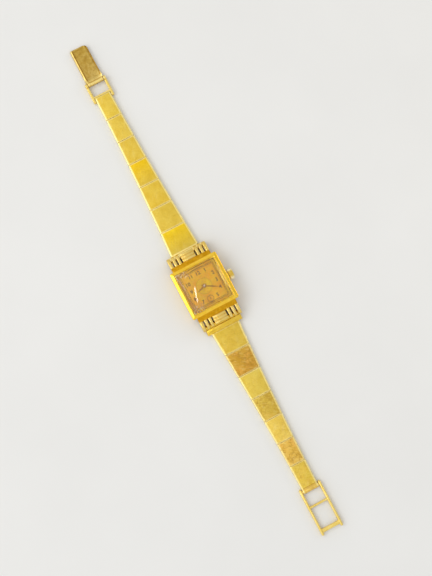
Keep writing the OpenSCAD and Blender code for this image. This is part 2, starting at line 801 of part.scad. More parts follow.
module balance_cock() {
    color(brass) difference() {
        union() {
            translate([0, 0, bridge_bottom]) linear_extrude(height = bridge_top - bridge_bottom)
                polygon([[-bridge_edge, cock_top], [cock_right, cock_top], [cock_right, cock_top - cock_side],
                         [-bridge_edge + balance_r * 0.75, -bridge_edge], [-bridge_edge, -bridge_edge]]);
            translate([-bridge_edge, -bridge_edge, bridge_bottom])
                cube([bridge_post, bridge_post, plate_bottom + seat_gap - bridge_bottom]);
        }
        translate(balance_at) arbor(0, bridge_top + over, arbor_r + running);
        translate(cock_screw_at) arbor(0, plate_bottom + over, screw_r);
    }
}

screw_r = 0.22;
screw_head_r = 0.38;
screw_head_h = 0.18;
post_at = bridge_edge - bridge_post / 2;
screw_at = [[post_at, -post_at], [post_at, post_at], [-post_at, -bridge_post / 2]];
cock_screw_at = [-post_at, -post_at];

module bridge_screws() {
    color(blued) for (at = concat(screw_at, [cock_screw_at]))
        translate(at) difference() {
            union() {
                arbor(bridge_bottom - screw_head_h, bridge_bottom, screw_head_r);
                arbor(bridge_bottom, plate_bottom + seat_gap, screw_r);
            }
            translate([-screw_head_r, -0.05, bridge_bottom - screw_head_h - over])
                cube([2 * screw_head_r, 0.1, over + screw_head_h / 2]);
        }
}

// The barrel's drum, and the mainspring inside it as a solid of its own
module barrel() {
    wall = 0.15;
    hollow_r = barrel_r - 0.45;
    color(brass) translate(barrel_at) {
        difference() {
            translate([0, 0, barrel_bottom]) toothed(barrel_r, barrel_h, 60);
            arbor(barrel_bottom + wall, barrel_bottom + barrel_h - wall, hollow_r);
        }
        arbor(bridge_bottom + 0.1, plate_bottom + 0.5, 2 * arbor_r);
        translate([0, 0, barrel_bottom + wall + seat_gap])
            spiral(0.7, hollow_r - 0.4, mainspring_turns, 0.12, barrel_h - 2 * wall - 2 * seat_gap);
    }
}

module center_wheel() {
    color(brass) {
        translate([0, 0, center_wheel_z]) train_wheel(center_r, 60, 4);
        translate([0, 0, center_wheel_z]) toothed(center_pinion_r, plate_bottom - center_wheel_z - 0.05, 8);
        arbor(bridge_bottom + 0.1, minute_hand_z - 0.1, arbor_r);
    }
}

module third_wheel() {
    color(brass) translate(third_at) {
        translate([0, 0, third_wheel_z]) train_wheel(third_r, 60, 4);
        translate([0, 0, center_wheel_z - 0.05]) toothed(third_pinion_r, wheel_t + 0.1, 8);
        arbor(bridge_bottom + 0.1, plate_bottom + 0.5, arbor_r);
    }
}

module fourth_wheel() {
    color(brass) translate(fourth_at) {
        translate([0, 0, fourth_wheel_z]) train_wheel(fourth_r, 48, 4);
        translate([0, 0, third_wheel_z - 0.05]) toothed(fourth_pinion_r, wheel_t + 0.1, 8);
        arbor(bridge_bottom + 0.1, seconds_hand_z + hand_t, arbor_r);
    }
}

module escape_wheel() {
    color(steel) translate(escape_at) {
        translate([0, 0, escape_wheel_z]) train_wheel(escape_r, 15, 4);
        translate([0, 0, fourth_wheel_z - 0.05]) toothed(escape_pinion_r, wheel_t + 0.1, 6);
        arbor(bridge_bottom + 0.1, plate_bottom + 0.5, arbor_r);
    }
}

// The pallet fork: two arms beside the escape wheel and a lever to the balance
module pallet_fork() {
    arm_w = 0.16;
    reach = 0.75;
    lever = balance_d - 0.35;
    color(steel) translate(fork_at) {
        arbor(bridge_bottom + 0.1, plate_bottom + 0.5, arbor_r);
        translate([0, 0, escape_wheel_z]) {
            cylinder(h = wheel_t, r = 0.25);
            rotate([0, 0, fork_angle]) translate([-arm_w / 2, -reach, 0]) cube([arm_w, 2 * reach, wheel_t]);
            rotate([0, 0, balance_angle]) translate([0, -arm_w / 2, 0]) cube([lever, arm_w, wheel_t]);
        }
    }
}

module balance_wheel() {
    rim = 0.3;
    color(pale_gold) translate(balance_at) {
        translate([0, 0, balance_z]) difference() {
            cylinder(h = balance_t, r = balance_r);
            difference() {
                translate([0, 0, -over]) cylinder(h = 2 * over + balance_t, r = balance_r - rim);
                translate([-balance_r, -0.15, -over]) cube([2 * balance_r, 0.3, 2 * over + balance_t]);
                translate([0, 0, -over]) cylinder(h = 2 * over + balance_t, r = 0.3);
            }
        }
        arbor(bridge_bottom + 0.1, plate_bottom + 0.5, arbor_r);
    }
}

module hairspring() {
    color(steel) translate([balance_at[0], balance_at[1], hairspring_z])
        spiral(arbor_r - 0.02, 1.1, hairspring_turns, 0.05, 0.15);
}

module cannon_pinion() {
    color(steel) difference() {
        union() {
            translate([0, 0, motion_z - 0.03]) toothed(cannon_r, wheel_t + 0.05, 10);
            arbor(motion_z - 0.03, minute_hand_z + hand_t, cannon_tube_r);
        }
        arbor(0, crystal_top, arbor_r + running);
    }
}

module minute_wheel() {
    color(brass) translate(minute_at) difference() {
        union() {
            translate([0, 0, motion_z]) toothed(minute_r, wheel_t, 30);
            translate([0, 0, motion_z]) toothed(minute_pinion_r, hour_wheel_z - motion_z + wheel_t, 8);
        }
        arbor(0, crystal_top, arbor_r + running);
    }
}

module hour_wheel() {
    color(brass) difference() {
        union() {
            translate([0, 0, hour_wheel_z]) toothed(hour_r, wheel_t, 32);
            arbor(hour_wheel_z, hour_hand_z + hand_t, hour_tube_r);
        }
        arbor(0, crystal_top, cannon_tube_r + running);
    }
}

// A tapering hand that points along +Y, round its hub
module hand(len, w, hub_r, hole_r, tail) {
    difference() {
        union() {
            cylinder(h = hand_t, r = hub_r);
            linear_extrude(height = hand_t)
                polygon([[-w * 0.3, -tail], [-w / 2, len * 0.55], [0, len], [w / 2, len * 0.55],
                         [w * 0.3, -tail]]);
        }
        translate([0, 0, -over]) cylinder(h = 2 * over + hand_t, r = hole_r);
    }
}

module hour_hand() {
    color(blued) rotate([0, 0, hour_turn]) translate([0, 0, hour_hand_z])
        hand(hour_len, 0.6, 0.7, hour_tube_r, 0.9);
}

module minute_hand() {
    color(blued) rotate([0, 0, minute_turn]) translate([0, 0, minute_hand_z])
        hand(minute_len, 0.45, 0.55, cannon_tube_r, 1.1);
}

module seconds_hand() {
    color(blued) translate([0, -seconds_y, seconds_hand_z])
        hand(seconds_len, 0.14, 0.2, arbor_r, 0.4);
}

module winding_stem() {
    tail_l = crown_in - stem_tail;
    color(steel) translate([stem_tail + tail_l / 2, -stem_y, stem_z]) {
        rod_x(stem_r, tail_l);
        translate([tail_l / 2 + stem_thread / 2, 0, 0]) rod_x(stem_r * 0.7, stem_thread);
    }
}

module crown() {
    color(pale_gold) translate([crown_in, -stem_y, stem_z]) rotate([0, 90, 0]) difference() {
        union() {
            linear_extrude(height = crown_len) polygon([for (i = [0:2 * crown_flutes - 1])
                (i % 2 == 0 ? crown_r : crown_r - 0.14)
                * [cos(i * 180 / crown_flutes), sin(i * 180 / crown_flutes)]]);
            translate([0, 0, -0.4]) cylinder(h = 0.5, r = crown_r * 0.5);
            translate([0, 0, crown_len]) cylinder(h = 0.1, r = crown_r * 0.8);
        }
        translate([0, 0, -over]) cylinder(h = over + stem_thread, r = stem_r * 0.7 + running);
        translate([0, 0, -over]) cylinder(h = over, r = stem_r + running);
    }
}

case_band();
case_back();
bezel();
crystal();
dial();
lug_hoods();
lug_blocks();
spring_bars();
lower_end_bar();
mainplate();
train_bridge();
balance_cock();
bridge_screws();
barrel();
center_wheel();
third_wheel();
fourth_wheel();
escape_wheel();
pallet_fork();
balance_wheel();
hairspring();
cannon_pinion();
minute_wheel();
hour_wheel();
hour_hand();
minute_hand();
seconds_hand();
winding_stem();
crown();
for (i = [1:link_count]) {
    upper_link(i);
    lower_link(i);
    upper_pin(i);
}
for (i = [1:link_count - 1])
    lower_pin(i);
clasp_frame();
clasp_flap();
flap_pin();
ladder();
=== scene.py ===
import math
from functools import reduce
import bmesh
import bpy
from mathutils import Matrix, Vector


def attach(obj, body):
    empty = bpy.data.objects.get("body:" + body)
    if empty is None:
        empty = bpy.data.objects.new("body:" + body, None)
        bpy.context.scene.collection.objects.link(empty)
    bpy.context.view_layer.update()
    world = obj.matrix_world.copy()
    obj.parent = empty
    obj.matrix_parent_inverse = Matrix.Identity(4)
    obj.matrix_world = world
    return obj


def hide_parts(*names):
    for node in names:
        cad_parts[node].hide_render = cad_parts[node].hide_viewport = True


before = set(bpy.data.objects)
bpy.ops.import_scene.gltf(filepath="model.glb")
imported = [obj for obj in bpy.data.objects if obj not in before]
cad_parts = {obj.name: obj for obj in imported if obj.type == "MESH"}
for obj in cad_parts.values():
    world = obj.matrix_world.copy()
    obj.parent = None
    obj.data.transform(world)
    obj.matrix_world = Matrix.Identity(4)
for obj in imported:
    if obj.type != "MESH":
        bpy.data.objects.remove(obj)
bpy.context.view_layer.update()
print("frame loaded,", len(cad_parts), "nodes")

# every size below is in millimetres; meshes are brought to metres when a piece is finished
toMetres = Matrix.Scale(0.001, 4)
halfTurn = Matrix.Rotation(math.pi, 4, "Z")
quarter = math.pi / 2


# small tools for node trees; a value is a number, a tuple or the socket of another node

def treeOf(*values):
    return next(v.id_data for v in values if isinstance(v, bpy.types.NodeSocket))


def feed(socket, value):
    if isinstance(value, bpy.types.NodeSocket):
        socket.id_data.links.new(value, socket)
    elif value is not None:
        socket.default_value = value


def feedAll(node, inputs):
    for key, value in inputs.items():
        feed(node.inputs[key], value)


def addNode(tree, kind, inputs=None, **settings):
    node = tree.nodes.new(kind)
    for key, value in settings.items():
        setattr(node, key, value)
    feedAll(node, inputs or {})
    return node


def calc(operation, *values):  # vector maths as soon as one value is a vector
    isVector = any(isinstance(v, tuple) or getattr(v, "type", "") == "VECTOR" for v in values)
    kind = "ShaderNodeVectorMath" if isVector else "ShaderNodeMath"
    return addNode(treeOf(*values), kind, dict(enumerate(values)), operation=operation).outputs[0]


def plus(*values):
    return reduce(lambda a, b: calc("ADD", a, b), values)


def minus(a, b):
    return calc("SUBTRACT", a, b)


def times(*values):
    return reduce(lambda a, b: calc("MULTIPLY", a, b), values)


def over(a, b):
    return calc("DIVIDE", a, b)


def sizeOf(value):
    return calc("ABSOLUTE", value)


def larger(a, b):
    return calc("MAXIMUM", a, b)


def joinXyz(x=0.0, y=0.0, z=0.0):
    return addNode(treeOf(x, y, z), "ShaderNodeCombineXYZ", {0: x, 1: y, 2: z}).outputs[0]


def splitXyz(vector):
    return addNode(vector.id_data, "ShaderNodeSeparateXYZ", {0: vector}).outputs


def spanned(value, low, high, newLow=0.0, newHigh=1.0):
    return addNode(value.id_data, "ShaderNodeMapRange",
                   {"Value": value, "From Min": low, "From Max": high, "To Min": newLow, "To Max": newHigh}).outputs[0]


def mixed(factor, first, second, blend="MIX"):
    return addNode(treeOf(factor, first, second), "ShaderNodeMix", {"Factor": factor, "A": first, "B": second},
                   data_type="RGBA", blend_type=blend).outputs["Result"]


# materials; colours are given as a screen shows them

def rgb(r, g, b):
    return tuple((c / 255) ** 2.2 for c in (r, g, b)) + (1.0,)


def painted(color, *coats):  # each coat is how much of it shows and its colour
    for amount, coat in coats:
        color = mixed(amount, color, rgb(*coat))
    return color


def startMaterial(name):
    material = bpy.data.materials.new(name)
    material.use_nodes = True
    tree = material.node_tree
    tree.nodes.clear()
    shader = tree.nodes.new("ShaderNodeBsdfPrincipled")
    addNode(tree, "ShaderNodeOutputMaterial", {0: shader.outputs[0]})
    place = tree.nodes.new("ShaderNodeTexCoord").outputs["Object"]
    return material, shader, times(place, (1000, 1000, 1000))


def noiseAt(inMm, stretch, detail=3.0, turn=0.0):  # stretch is in waves per millimetre
    stretch = stretch if isinstance(stretch, tuple) else (stretch,) * 3
    turned = addNode(inMm.id_data, "ShaderNodeMapping", {"Vector": inMm, "Rotation": (0, 0, turn)}).outputs[0]
    return addNode(inMm.id_data, "ShaderNodeTexNoise", {"Vector": times(turned, stretch), "Scale": 1.0,
                                                        "Detail": detail, "Roughness": 0.55}).outputs["Fac"]


def bumpOf(height, strength, depth):
    return addNode(height.id_data, "ShaderNodeBump",
                   {"Strength": strength, "Distance": depth, "Height": height}).outputs[0]


def attribute(shader, name):
    return addNode(shader.id_data, "ShaderNodeAttribute", attribute_name=name).outputs


def darkened(color, shade):
    return mixed(1.0, color, joinXyz(shade, shade, shade), "MULTIPLY")


def linkWear(shader, inMm, color, look):  # painted light and shade per link end, pale edges that are partly wear and partly a painted highlight, and scuffs, as the mesh's attributes give them
    lightAndWear = attribute(shader, "lightAndWear")
    color = mixed(1.0, color, lightAndWear["Color"], "MULTIPLY")
    rubbed = spanned(noiseAt(inMm, 1.4, 4.0), 0.3, 0.62, 0.7, 1.0)
    # the long edges go pale: partly wear, partly a painted highlight
    inset = minus(attribute(shader, "reach")["Fac"], sizeOf(attribute(shader, "across")["Fac"]))
    worn = larger(lightAndWear["Alpha"], spanned(inset, 0.42, 0.66, 1.0, 0.0))
    scuff = attribute(shader, "scuff")["Fac"]
    hatch = noiseAt(inMm, (0.5, 5.0, 3.0), 2.0, 0.6)
    cross = noiseAt(inMm, (0.5, 4.0, 3.0), 2.0, -0.8)
    marks = larger(spanned(hatch, 0.56, 0.68), spanned(cross, 0.6, 0.7))
    bright = spanned(hatch, 0.42, 0.3, 0.0, 0.45)
    # bent strokes and redder patches where a link is dented
    stroke = spanned(sizeOf(minus(noiseAt(inMm, 0.4, 2.0), 0.5)), 0.01, 0.045, 0.5, 0.0)
    patch = spanned(noiseAt(inMm, 0.3, 2.0, 1.1), 0.5, 0.62, 0.0, 0.3)
    inner = times(scuff, minus(1.0, worn))
    return painted(color, (times(worn, rubbed), look["worn"]), (times(marks, scuff, 0.6), look["mark"]),
                   (times(bright, scuff), look["worn"]), (times(patch, inner), look["flush"]),
                   (times(stroke, inner), look["mark"]))


# a polished gold: noise sizes in waves per millimetre, then how strongly each shows
usualGold = {"blotch": 0.5, "rub": 1.1, "wear": 0.4, "streak": 6.0, "rough": (0.14, 0.3), "grain": 0.25,
             "dents": 0.3, "scratches": 1.0, "speckle": 0.06, "turn": 0.0}


def goldFinish(name, **look):  # pale, deep and the colour of wear and painted highlights are its three colours
    look = {**usualGold, **look}
    material, shader, inMm = startMaterial(name)
    blotch = noiseAt(inMm, look["blotch"], 4.0)
    color = mixed(spanned(blotch, 0.35, 0.68), rgb(*look["deep"]), rgb(*look["pale"]))
    rub = noiseAt(inMm, (look["rub"], look["rub"] * 0.25, look["rub"]), 5.0, 0.4)
    color = painted(color, (spanned(rub, 0.55, 0.8, 0.0, look["wear"]), look["worn"]))
    if "ends" in look:  # painted highlight: paler beyond a distance from this y
        away = sizeOf(minus(splitXyz(inMm)[1], look["ends"]))
        color = painted(color, (spanned(away, 0.8, 1.35, 0.0, 0.85), look["endTone"]))
    if "mark" in look:
        color = linkWear(shader, inMm, color, look)
    speckle = look["speckle"]
    color = darkened(color, spanned(noiseAt(inMm, 3.4), 0.3, 0.7, 1.0 - speckle, 1.0 + speckle))
    streak = noiseAt(inMm, look["streak"], 6.0, look["turn"])
    cut = spanned(noiseAt(inMm, (0.35, 9.0, 3.0), 2.0, 0.5), 0.66, 0.72, 0.0, look["scratches"])
    height = minus(times(streak, look["grain"]), times(cut, 0.5))
    height = plus(height, times(blotch, look["dents"]))
    feedAll(shader, {
        "Base Color": color, "Metallic": 1.0, "Normal": bumpOf(height, 0.5, 0.00003),
        "Roughness": plus(spanned(streak, 0.3, 0.7, *look["rough"]), times(cut, 0.08))})
    return material


bandGold = goldFinish(
    "bandGold", pale=(246, 214, 92), deep=(236, 200, 76), worn=(254, 234, 156), mark=(168, 120, 44),
    flush=(248, 184, 92), blotch=0.45, rub=0.9, wear=0.25, streak=(9.0, 0.7, 9.0), rough=(0.26, 0.42), grain=0.7,
    dents=0.7, speckle=0.07)
polishedGold = goldFinish(
    "polishedGold", pale=(254, 212, 80), deep=(248, 198, 58), worn=(254, 226, 120), rub=1.4, wear=0.35, streak=5.0,
    rough=(0.1, 0.24), dents=0.9)
# painted shade: a darker copy of the gold for the lugs' sloping shoulders
shadedShoulderGold = goldFinish(
    "shadedShoulderGold", pale=(226, 168, 40), deep=(204, 146, 24), worn=(240, 200, 90), blotch=0.8, rub=1.2, wear=0.3,
    streak=5.0, rough=(0.2, 0.34), grain=0.4, dents=1.0)
wornGold = goldFinish(
    "wornGold", pale=(240, 210, 124), deep=(230, 196, 102), worn=(250, 232, 170), blotch=0.4, scratches=0.15)
# the crown's ends carry a painted highlight
crownGold = goldFinish(
    "crownGold", pale=(240, 210, 104), deep=(230, 196, 86), worn=(250, 232, 170), blotch=0.4, wear=0.2,
    scratches=0.15, ends=-0.35, endTone=(246, 234, 196))
barGold = goldFinish(
    "barGold", pale=(240, 202, 84), deep=(228, 186, 62), worn=(250, 224, 136), rub=1.0, rough=(0.16, 0.32),
    grain=0.3, dents=0.5)
flapGold = goldFinish(
    "flapGold", pale=(208, 176, 88), deep=(180, 142, 56), worn=(252, 226, 140), mark=(150, 112, 50),
    flush=(196, 160, 80), blotch=0.7, wear=0.3, streak=3.0, rough=(0.32, 0.5), grain=0.6, dents=2.0)
paleGold = goldFinish(
    "paleGold", pale=(252, 224, 132), deep=(244, 212, 112), worn=(255, 240, 176), blotch=0.4, rough=(0.2, 0.34),
    scratches=0.15, speckle=0.03)
trainBrass = goldFinish(
    "trainBrass", pale=(226, 196, 120), deep=(206, 172, 92), worn=(240, 220, 160), blotch=1.2, rub=3.0, wear=0.3,
    streak=(14.0, 1.0, 14.0), rough=(0.25, 0.4), grain=0.6, dents=0.4, turn=0.8)


def steelFinish(name, light, dark, rough):
    material, shader, inMm = startMaterial(name)
    turned = noiseAt(inMm, (12.0, 1.5, 12.0), 4.0)
    feedAll(shader, {
        "Base Color": mixed(noiseAt(inMm, 2.0), rgb(*dark), rgb(*light)), "Metallic": 1.0,
        "Roughness": spanned(turned, 0.3, 0.7, rough * 0.8, rough * 1.3), "Normal": bumpOf(turned, 0.3, 0.00001)})
    return material


plainSteel = steelFinish("plainSteel", (214, 214, 216), (180, 181, 184), 0.28)
screwBlue = steelFinish("screwBlue", (70, 84, 130), (40, 50, 92), 0.22)
handBronze = steelFinish("handBronze", (206, 150, 50), (160, 108, 30), 0.35)


def dialFinish():
    material, shader, inMm = startMaterial("dialCopper")
    x, y, z = splitXyz(inMm)
    reach = calc("SQRT", plus(times(x, x), times(y, y)))
    patina = spanned(noiseAt(inMm, 0.5, 5.0), 0.3, 0.7)
    copper = mixed(patina, rgb(255, 180, 4), rgb(255, 208, 30))
    gold = mixed(patina, rgb(255, 196, 0), rgb(255, 216, 4))
    color = mixed(spanned(reach, 2.66, 2.72, 1.0, 0.0), copper, gold)  # a yellower disc in the middle
    rim = times(spanned(reach, 2.6, 2.68), spanned(reach, 2.7, 2.78, 1.0, 0.0), 0.45)
    speckle = noiseAt(inMm, 2.2, 4.0)
    edge = larger(sizeOf(x), sizeOf(y))
    slopeLightAndShade = spanned(edge, 6.2, 6.4)  # what the crystal's slopes show, with painted shade on the left and a painted highlight on the right
    color = painted(color, (rim, (150, 104, 50)), (spanned(speckle, 0.58, 0.72, 0.0, 0.45), (170, 110, 40)),
                    (spanned(speckle, 0.4, 0.28, 0.0, 0.5), (255, 214, 120)),
                    (times(slopeLightAndShade, spanned(x, -6.4, -5.8, 0.9, 0.0)), (234, 160, 60)),
                    (times(slopeLightAndShade, spanned(x, 5.8, 6.4, 0.0, 0.9)), (255, 214, 70)))
    grain = noiseAt(inMm, 14.0, 2.0)
    feedAll(shader, {
        "Base Color": color, "Roughness": spanned(grain, 0.3, 0.7, 0.5, 0.62),
        "Normal": bumpOf(grain, 0.4, 0.00001), "Metallic": spanned(edge, 6.2, 6.4, 0.6, 0.15)})
    return material


def printFinish():
    material, shader, inMm = startMaterial("dialPrint")
    fade = noiseAt(inMm, 3.0)
    feedAll(shader, {"Base Color": mixed(fade, rgb(104, 62, 6), rgb(146, 96, 16)),
                     "Roughness": spanned(fade, 0.3, 0.7, 0.4, 0.6)})
    return material


def crystalFinish():
    material, shader, inMm = startMaterial("clearCrystal")
    x, y, z = splitXyz(inMm)
    # opaque golden patches at the two left corners, a little warmer on the slopes
    corner = times(spanned(sizeOf(y), 4.2, 6.4), spanned(x, -2.6, -4.8))
    cornerPatches = times(corner, spanned(noiseAt(inMm, 1.3, 4.0), 0.5, 0.64, 0.0, 0.36))
    slope = spanned(larger(sizeOf(x), sizeOf(y)), 6.05, 6.2)
    clear = mixed(slope, (1.0, 0.99, 0.94, 1.0), (1.0, 0.99, 0.79, 1.0))
    feedAll(shader, {
        "Base Color": mixed(cornerPatches, clear, rgb(255, 206, 84)), "Transmission Weight": minus(1.0, cornerPatches),
        "Roughness": spanned(noiseAt(inMm, (0.5, 12.0, 4.0), 2.0, 0.7), 0.72, 0.8, 0.0, 0.1), "IOR": 1.44})
    return material


def bedFinish():
    material, shader, inMm = startMaterial("crystalBed")
    x, y, z = splitXyz(inMm)
    # painted light: darker brown on the left, brighter yellow on the right
    color = mixed(spanned(x, -6.2, -5.6), rgb(214, 158, 76), rgb(244, 184, 40))
    color = painted(color, (spanned(x, 5.6, 6.2), (255, 214, 74)))
    spots = spanned(noiseAt(inMm, 1.6, 4.0), 0.35, 0.65, 0.86, 1.0)
    feedAll(shader, {"Base Color": darkened(color, spots), "Roughness": spanned(spots, 0.86, 1.0, 0.5, 0.7),
                     "Metallic": 0.05})
    return material


dialCopper = dialFinish()
dialPrint = printFinish()
clearCrystal = crystalFinish()
crystalBed = bedFinish()
print("materials made")


# mesh tools

def share(value, low, high):  # 0 at low, 1 at high and no further
    return min(max((value - low) / (high - low), 0.0), 1.0)


def circle(steps):
    return [(math.cos(2 * math.pi * k / steps), math.sin(2 * math.pi * k / steps)) for k in range(steps)]


def meshFrom(bm, name):
    mesh = bpy.data.meshes.new(name)
    bm.to_mesh(mesh)
    bm.free()
    return mesh


def bmeshOf(*meshes):
    bm = bmesh.new()
    for mesh in meshes:
        bm.from_mesh(mesh)
    return bm


def addObject(name, data):
    item = bpy.data.objects.new(name, data)
    bpy.context.scene.collection.objects.link(item)
    return item


def bakedMesh(holder, name):  # the holder's evaluated mesh; the holder itself goes
    bpy.context.view_layer.update()
    mesh = bpy.data.meshes.new_from_object(holder.evaluated_get(bpy.context.evaluated_depsgraph_get()))
    bpy.data.objects.remove(holder)
    mesh.name = name
    return mesh


def roundedEdges(mesh, name, width, segments=3, angle=30):
    holder = addObject(name + "Holder", mesh)
    bevel = holder.modifiers.new("Round", "BEVEL")
    bevel.width, bevel.segments = width, segments
    bevel.limit_method, bevel.angle_limit = "ANGLE", math.radians(angle)
    bevel.miter_outer, bevel.use_clamp_overlap = "MITER_ARC", True
    return bakedMesh(holder, name)


def cadCopy(node):
    bm = bmeshOf(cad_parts[node].data)
    bmesh.ops.scale(bm, vec=(1000, 1000, 1000), verts=bm.verts)
    bmesh.ops.remove_doubles(bm, verts=bm.verts, dist=0.0005)
    bmesh.ops.dissolve_limit(bm, angle_limit=math.radians(0.6), verts=bm.verts, edges=bm.edges)
    mesh = meshFrom(bm, node + "Copy")
    if "custom_normal" in mesh.attributes:  # stored normals don't fit the merged faces
        mesh.attributes.remove(mesh.attributes["custom_normal"])
    return mesh


def finishPiece(name, mesh, body, material, nodes=(), angle=35, turn=None):
    if turn is not None:
        mesh.transform(turn)
    mesh.transform(toMetres)
    mesh.polygons.foreach_set("use_smooth", [True] * len(mesh.polygons))
    mesh.set_sharp_from_angle(angle=math.radians(angle))
    mesh.update()
    mesh.materials.clear()
    mesh.materials.append(material)
    mesh.polygons.foreach_set("material_index", [0] * len(mesh.polygons))
    piece = addObject(name, mesh)
    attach(piece, body)
    if nodes:
        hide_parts(*nodes)


def dressCopy(name, node, body, material, rounding, segments=3, angle=30):
    mesh = roundedEdges(cadCopy(node), name, rounding, segments, angle)
    finishPiece(name, mesh, body, material, [node])


def addBlock(bm, low, high, rounding):
    size = Vector(high) - Vector(low)
    place = Matrix.Translation((Vector(low) + Vector(high)) / 2) @ Matrix.Diagonal((*size, 1))
    made = bmesh.ops.create_cube(bm, size=1.0, matrix=place)
    edges = {e for v in made["verts"] for e in v.link_edges}
    bmesh.ops.bevel(bm, geom=list(edges), offset=rounding, segments=3, profile=0.5, affect="EDGES")


def loftRings(bm, rings, closed=False):  # faces between rings of points, and caps unless they close
    for one, two in zip(rings, rings[1:] + (rings[:1] if closed else [])):
        for k in range(len(one)):
            n = (k + 1) % len(one)
            bm.faces.new((one[k], one[n], two[n], two[k]))
    if not closed:
        bm.faces.new(rings[0][::-1])
        bm.faces.new(rings[-1])


def addTurned(bm, profile, centre, steps=48, along="X"):
    rings = []
    for at, radius in profile:
        points = [(at, radius * c, radius * s) if along == "X" else (radius * c, radius * s, at)
                  for c, s in circle(steps)]
        rings.append([bm.verts.new(Vector(centre) + Vector(p)) for p in points])
    loftRings(bm, rings)


def roundRod(half, radius, lip=0.12):
    ends = [(half - lip + lip * math.sin(a), radius - lip + lip * math.cos(a)) for a in (0.0, 0.4, 0.8, 1.2, quarter)]
    return [(-x, r) for x, r in reversed(ends)] + ends


def addPrism(bm, front, back):  # two outlines and the wall between them
    one, two = [[bm.verts.new(p) for p in outline] for outline in (front, back)]
    bm.faces.new(one)
    bm.faces.new(two[::-1])
    for k in range(len(one)):
        n = (k + 1) % len(one)
        bm.faces.new((one[n], one[k], two[k], two[n]))


def addSheets(bm, top, under):  # two grids of points and the wall round their edges
    rows, cols = len(top), len(top[0])
    for j in range(rows - 1):
        for i in range(cols - 1):
            bm.faces.new((top[j][i], top[j][i + 1], top[j + 1][i + 1], top[j + 1][i]))
            bm.faces.new((under[j][i], under[j + 1][i], under[j + 1][i + 1], under[j][i + 1]))
    ring = [(0, i) for i in range(cols)] + [(j, cols - 1) for j in range(1, rows)]
    ring += [(rows - 1, i) for i in range(cols - 2, -1, -1)] + [(j, 0) for j in range(rows - 2, 0, -1)]
    for (a, b), (c, d) in zip(ring, ring[1:] + ring[:1]):
        bm.faces.new((top[c][d], top[a][b], under[a][b], under[c][d]))


def roundCorner(x, y, limitX, limitY):  # brings a point of a square corner onto its round one
    dx, dy = abs(x) - limitX, abs(y) - limitY
    k = max(dx, dy) / math.hypot(dx, dy)
    return math.copysign(limitX + dx * k, x), math.copysign(limitY + dy * k, y)


def facingOut(bm):
    bmesh.ops.recalc_face_normals(bm, faces=bm.faces)
    return bm


def profileSolid(points, half):  # an outline in y and z, drawn out to both sides
    bm = bmesh.new()
    addPrism(bm, [(-half, y, z) for y, z in points], [(half, y, z) for y, z in points])
    return facingOut(bm)


def atBothEnds(bm, name):  # the same shape again, half a turn round
    turned = bm.copy()
    bmesh.ops.transform(turned, matrix=halfTurn, verts=turned.verts)
    bm.from_mesh(meshFrom(turned, name + "Turned"))
    return meshFrom(bm, name)


# geometry node tools

def startTree(name, sizes):  # sizes are the named inputs and their usual values
    kinds = {float: "Float", int: "Int", bool: "Bool", type(None): "Material"}
    tree = bpy.data.node_groups.new(name, "GeometryNodeTree")
    tree.interface.new_socket("Geometry", in_out="INPUT", socket_type="NodeSocketGeometry")
    for label, value in {**sizes, "Material": None}.items():
        socket = tree.interface.new_socket(label, in_out="INPUT", socket_type="NodeSocket" + kinds[type(value)])
        if value is not None:
            socket.default_value = value
    tree.interface.new_socket("Geometry", in_out="OUTPUT", socket_type="NodeSocketGeometry")
    return tree, tree.nodes.new("NodeGroupInput").outputs


def endTree(tree, given, geometry):
    real = addNode(tree, "GeometryNodeRealizeInstances", {0: geometry}).outputs[0]
    made = addNode(tree, "GeometryNodeSetMaterial", {"Geometry": real, "Material": given["Material"]}).outputs[0]
    addNode(tree, "NodeGroupOutput", {0: made})
    return tree


def growMesh(tree, name, material, values, base=None):
    holder = addObject(name + "Holder", base or bpy.data.meshes.new(name + "Base"))
    modifier = holder.modifiers.new("Grow", "NODES")
    modifier.node_group = tree
    values = {**values, "Material": material}
    for item in tree.interface.items_tree:
        if item.in_out == "INPUT" and item.name in values:
            modifier[item.identifier] = values[item.name]
    return bakedMesh(holder, name)


def movedNode(geometry, **settings):
    inputs = {"Geometry": geometry, **{key.capitalize(): value for key, value in settings.items()}}
    return addNode(geometry.id_data, "GeometryNodeTransform", inputs).outputs[0]


def placedNode(geometry, position):
    inputs = {"Geometry": geometry, "Position": position}
    return addNode(geometry.id_data, "GeometryNodeSetPosition", inputs).outputs[0]


def rodNode(radius, width, centre):
    rod = addNode(centre.id_data, "GeometryNodeMeshCylinder", {"Vertices": 32, "Radius": radius, "Depth": width})
    return movedNode(rod.outputs["Mesh"], translation=centre, rotation=(0, quarter, 0))


def blockNode(size, centre):
    return movedNode(addNode(centre.id_data, "GeometryNodeMeshCube", {"Size": size}).outputs["Mesh"],
                     translation=centre)


def booleanNode(operation, main, *others):
    node = addNode(main.id_data, "GeometryNodeMeshBoolean", operation=operation, solver="EXACT")
    feed(node.inputs[0 if operation == "DIFFERENCE" else 1], main)
    for other in others:
        feed(node.inputs[1], other)
    return node.outputs[0]


# bracelet links

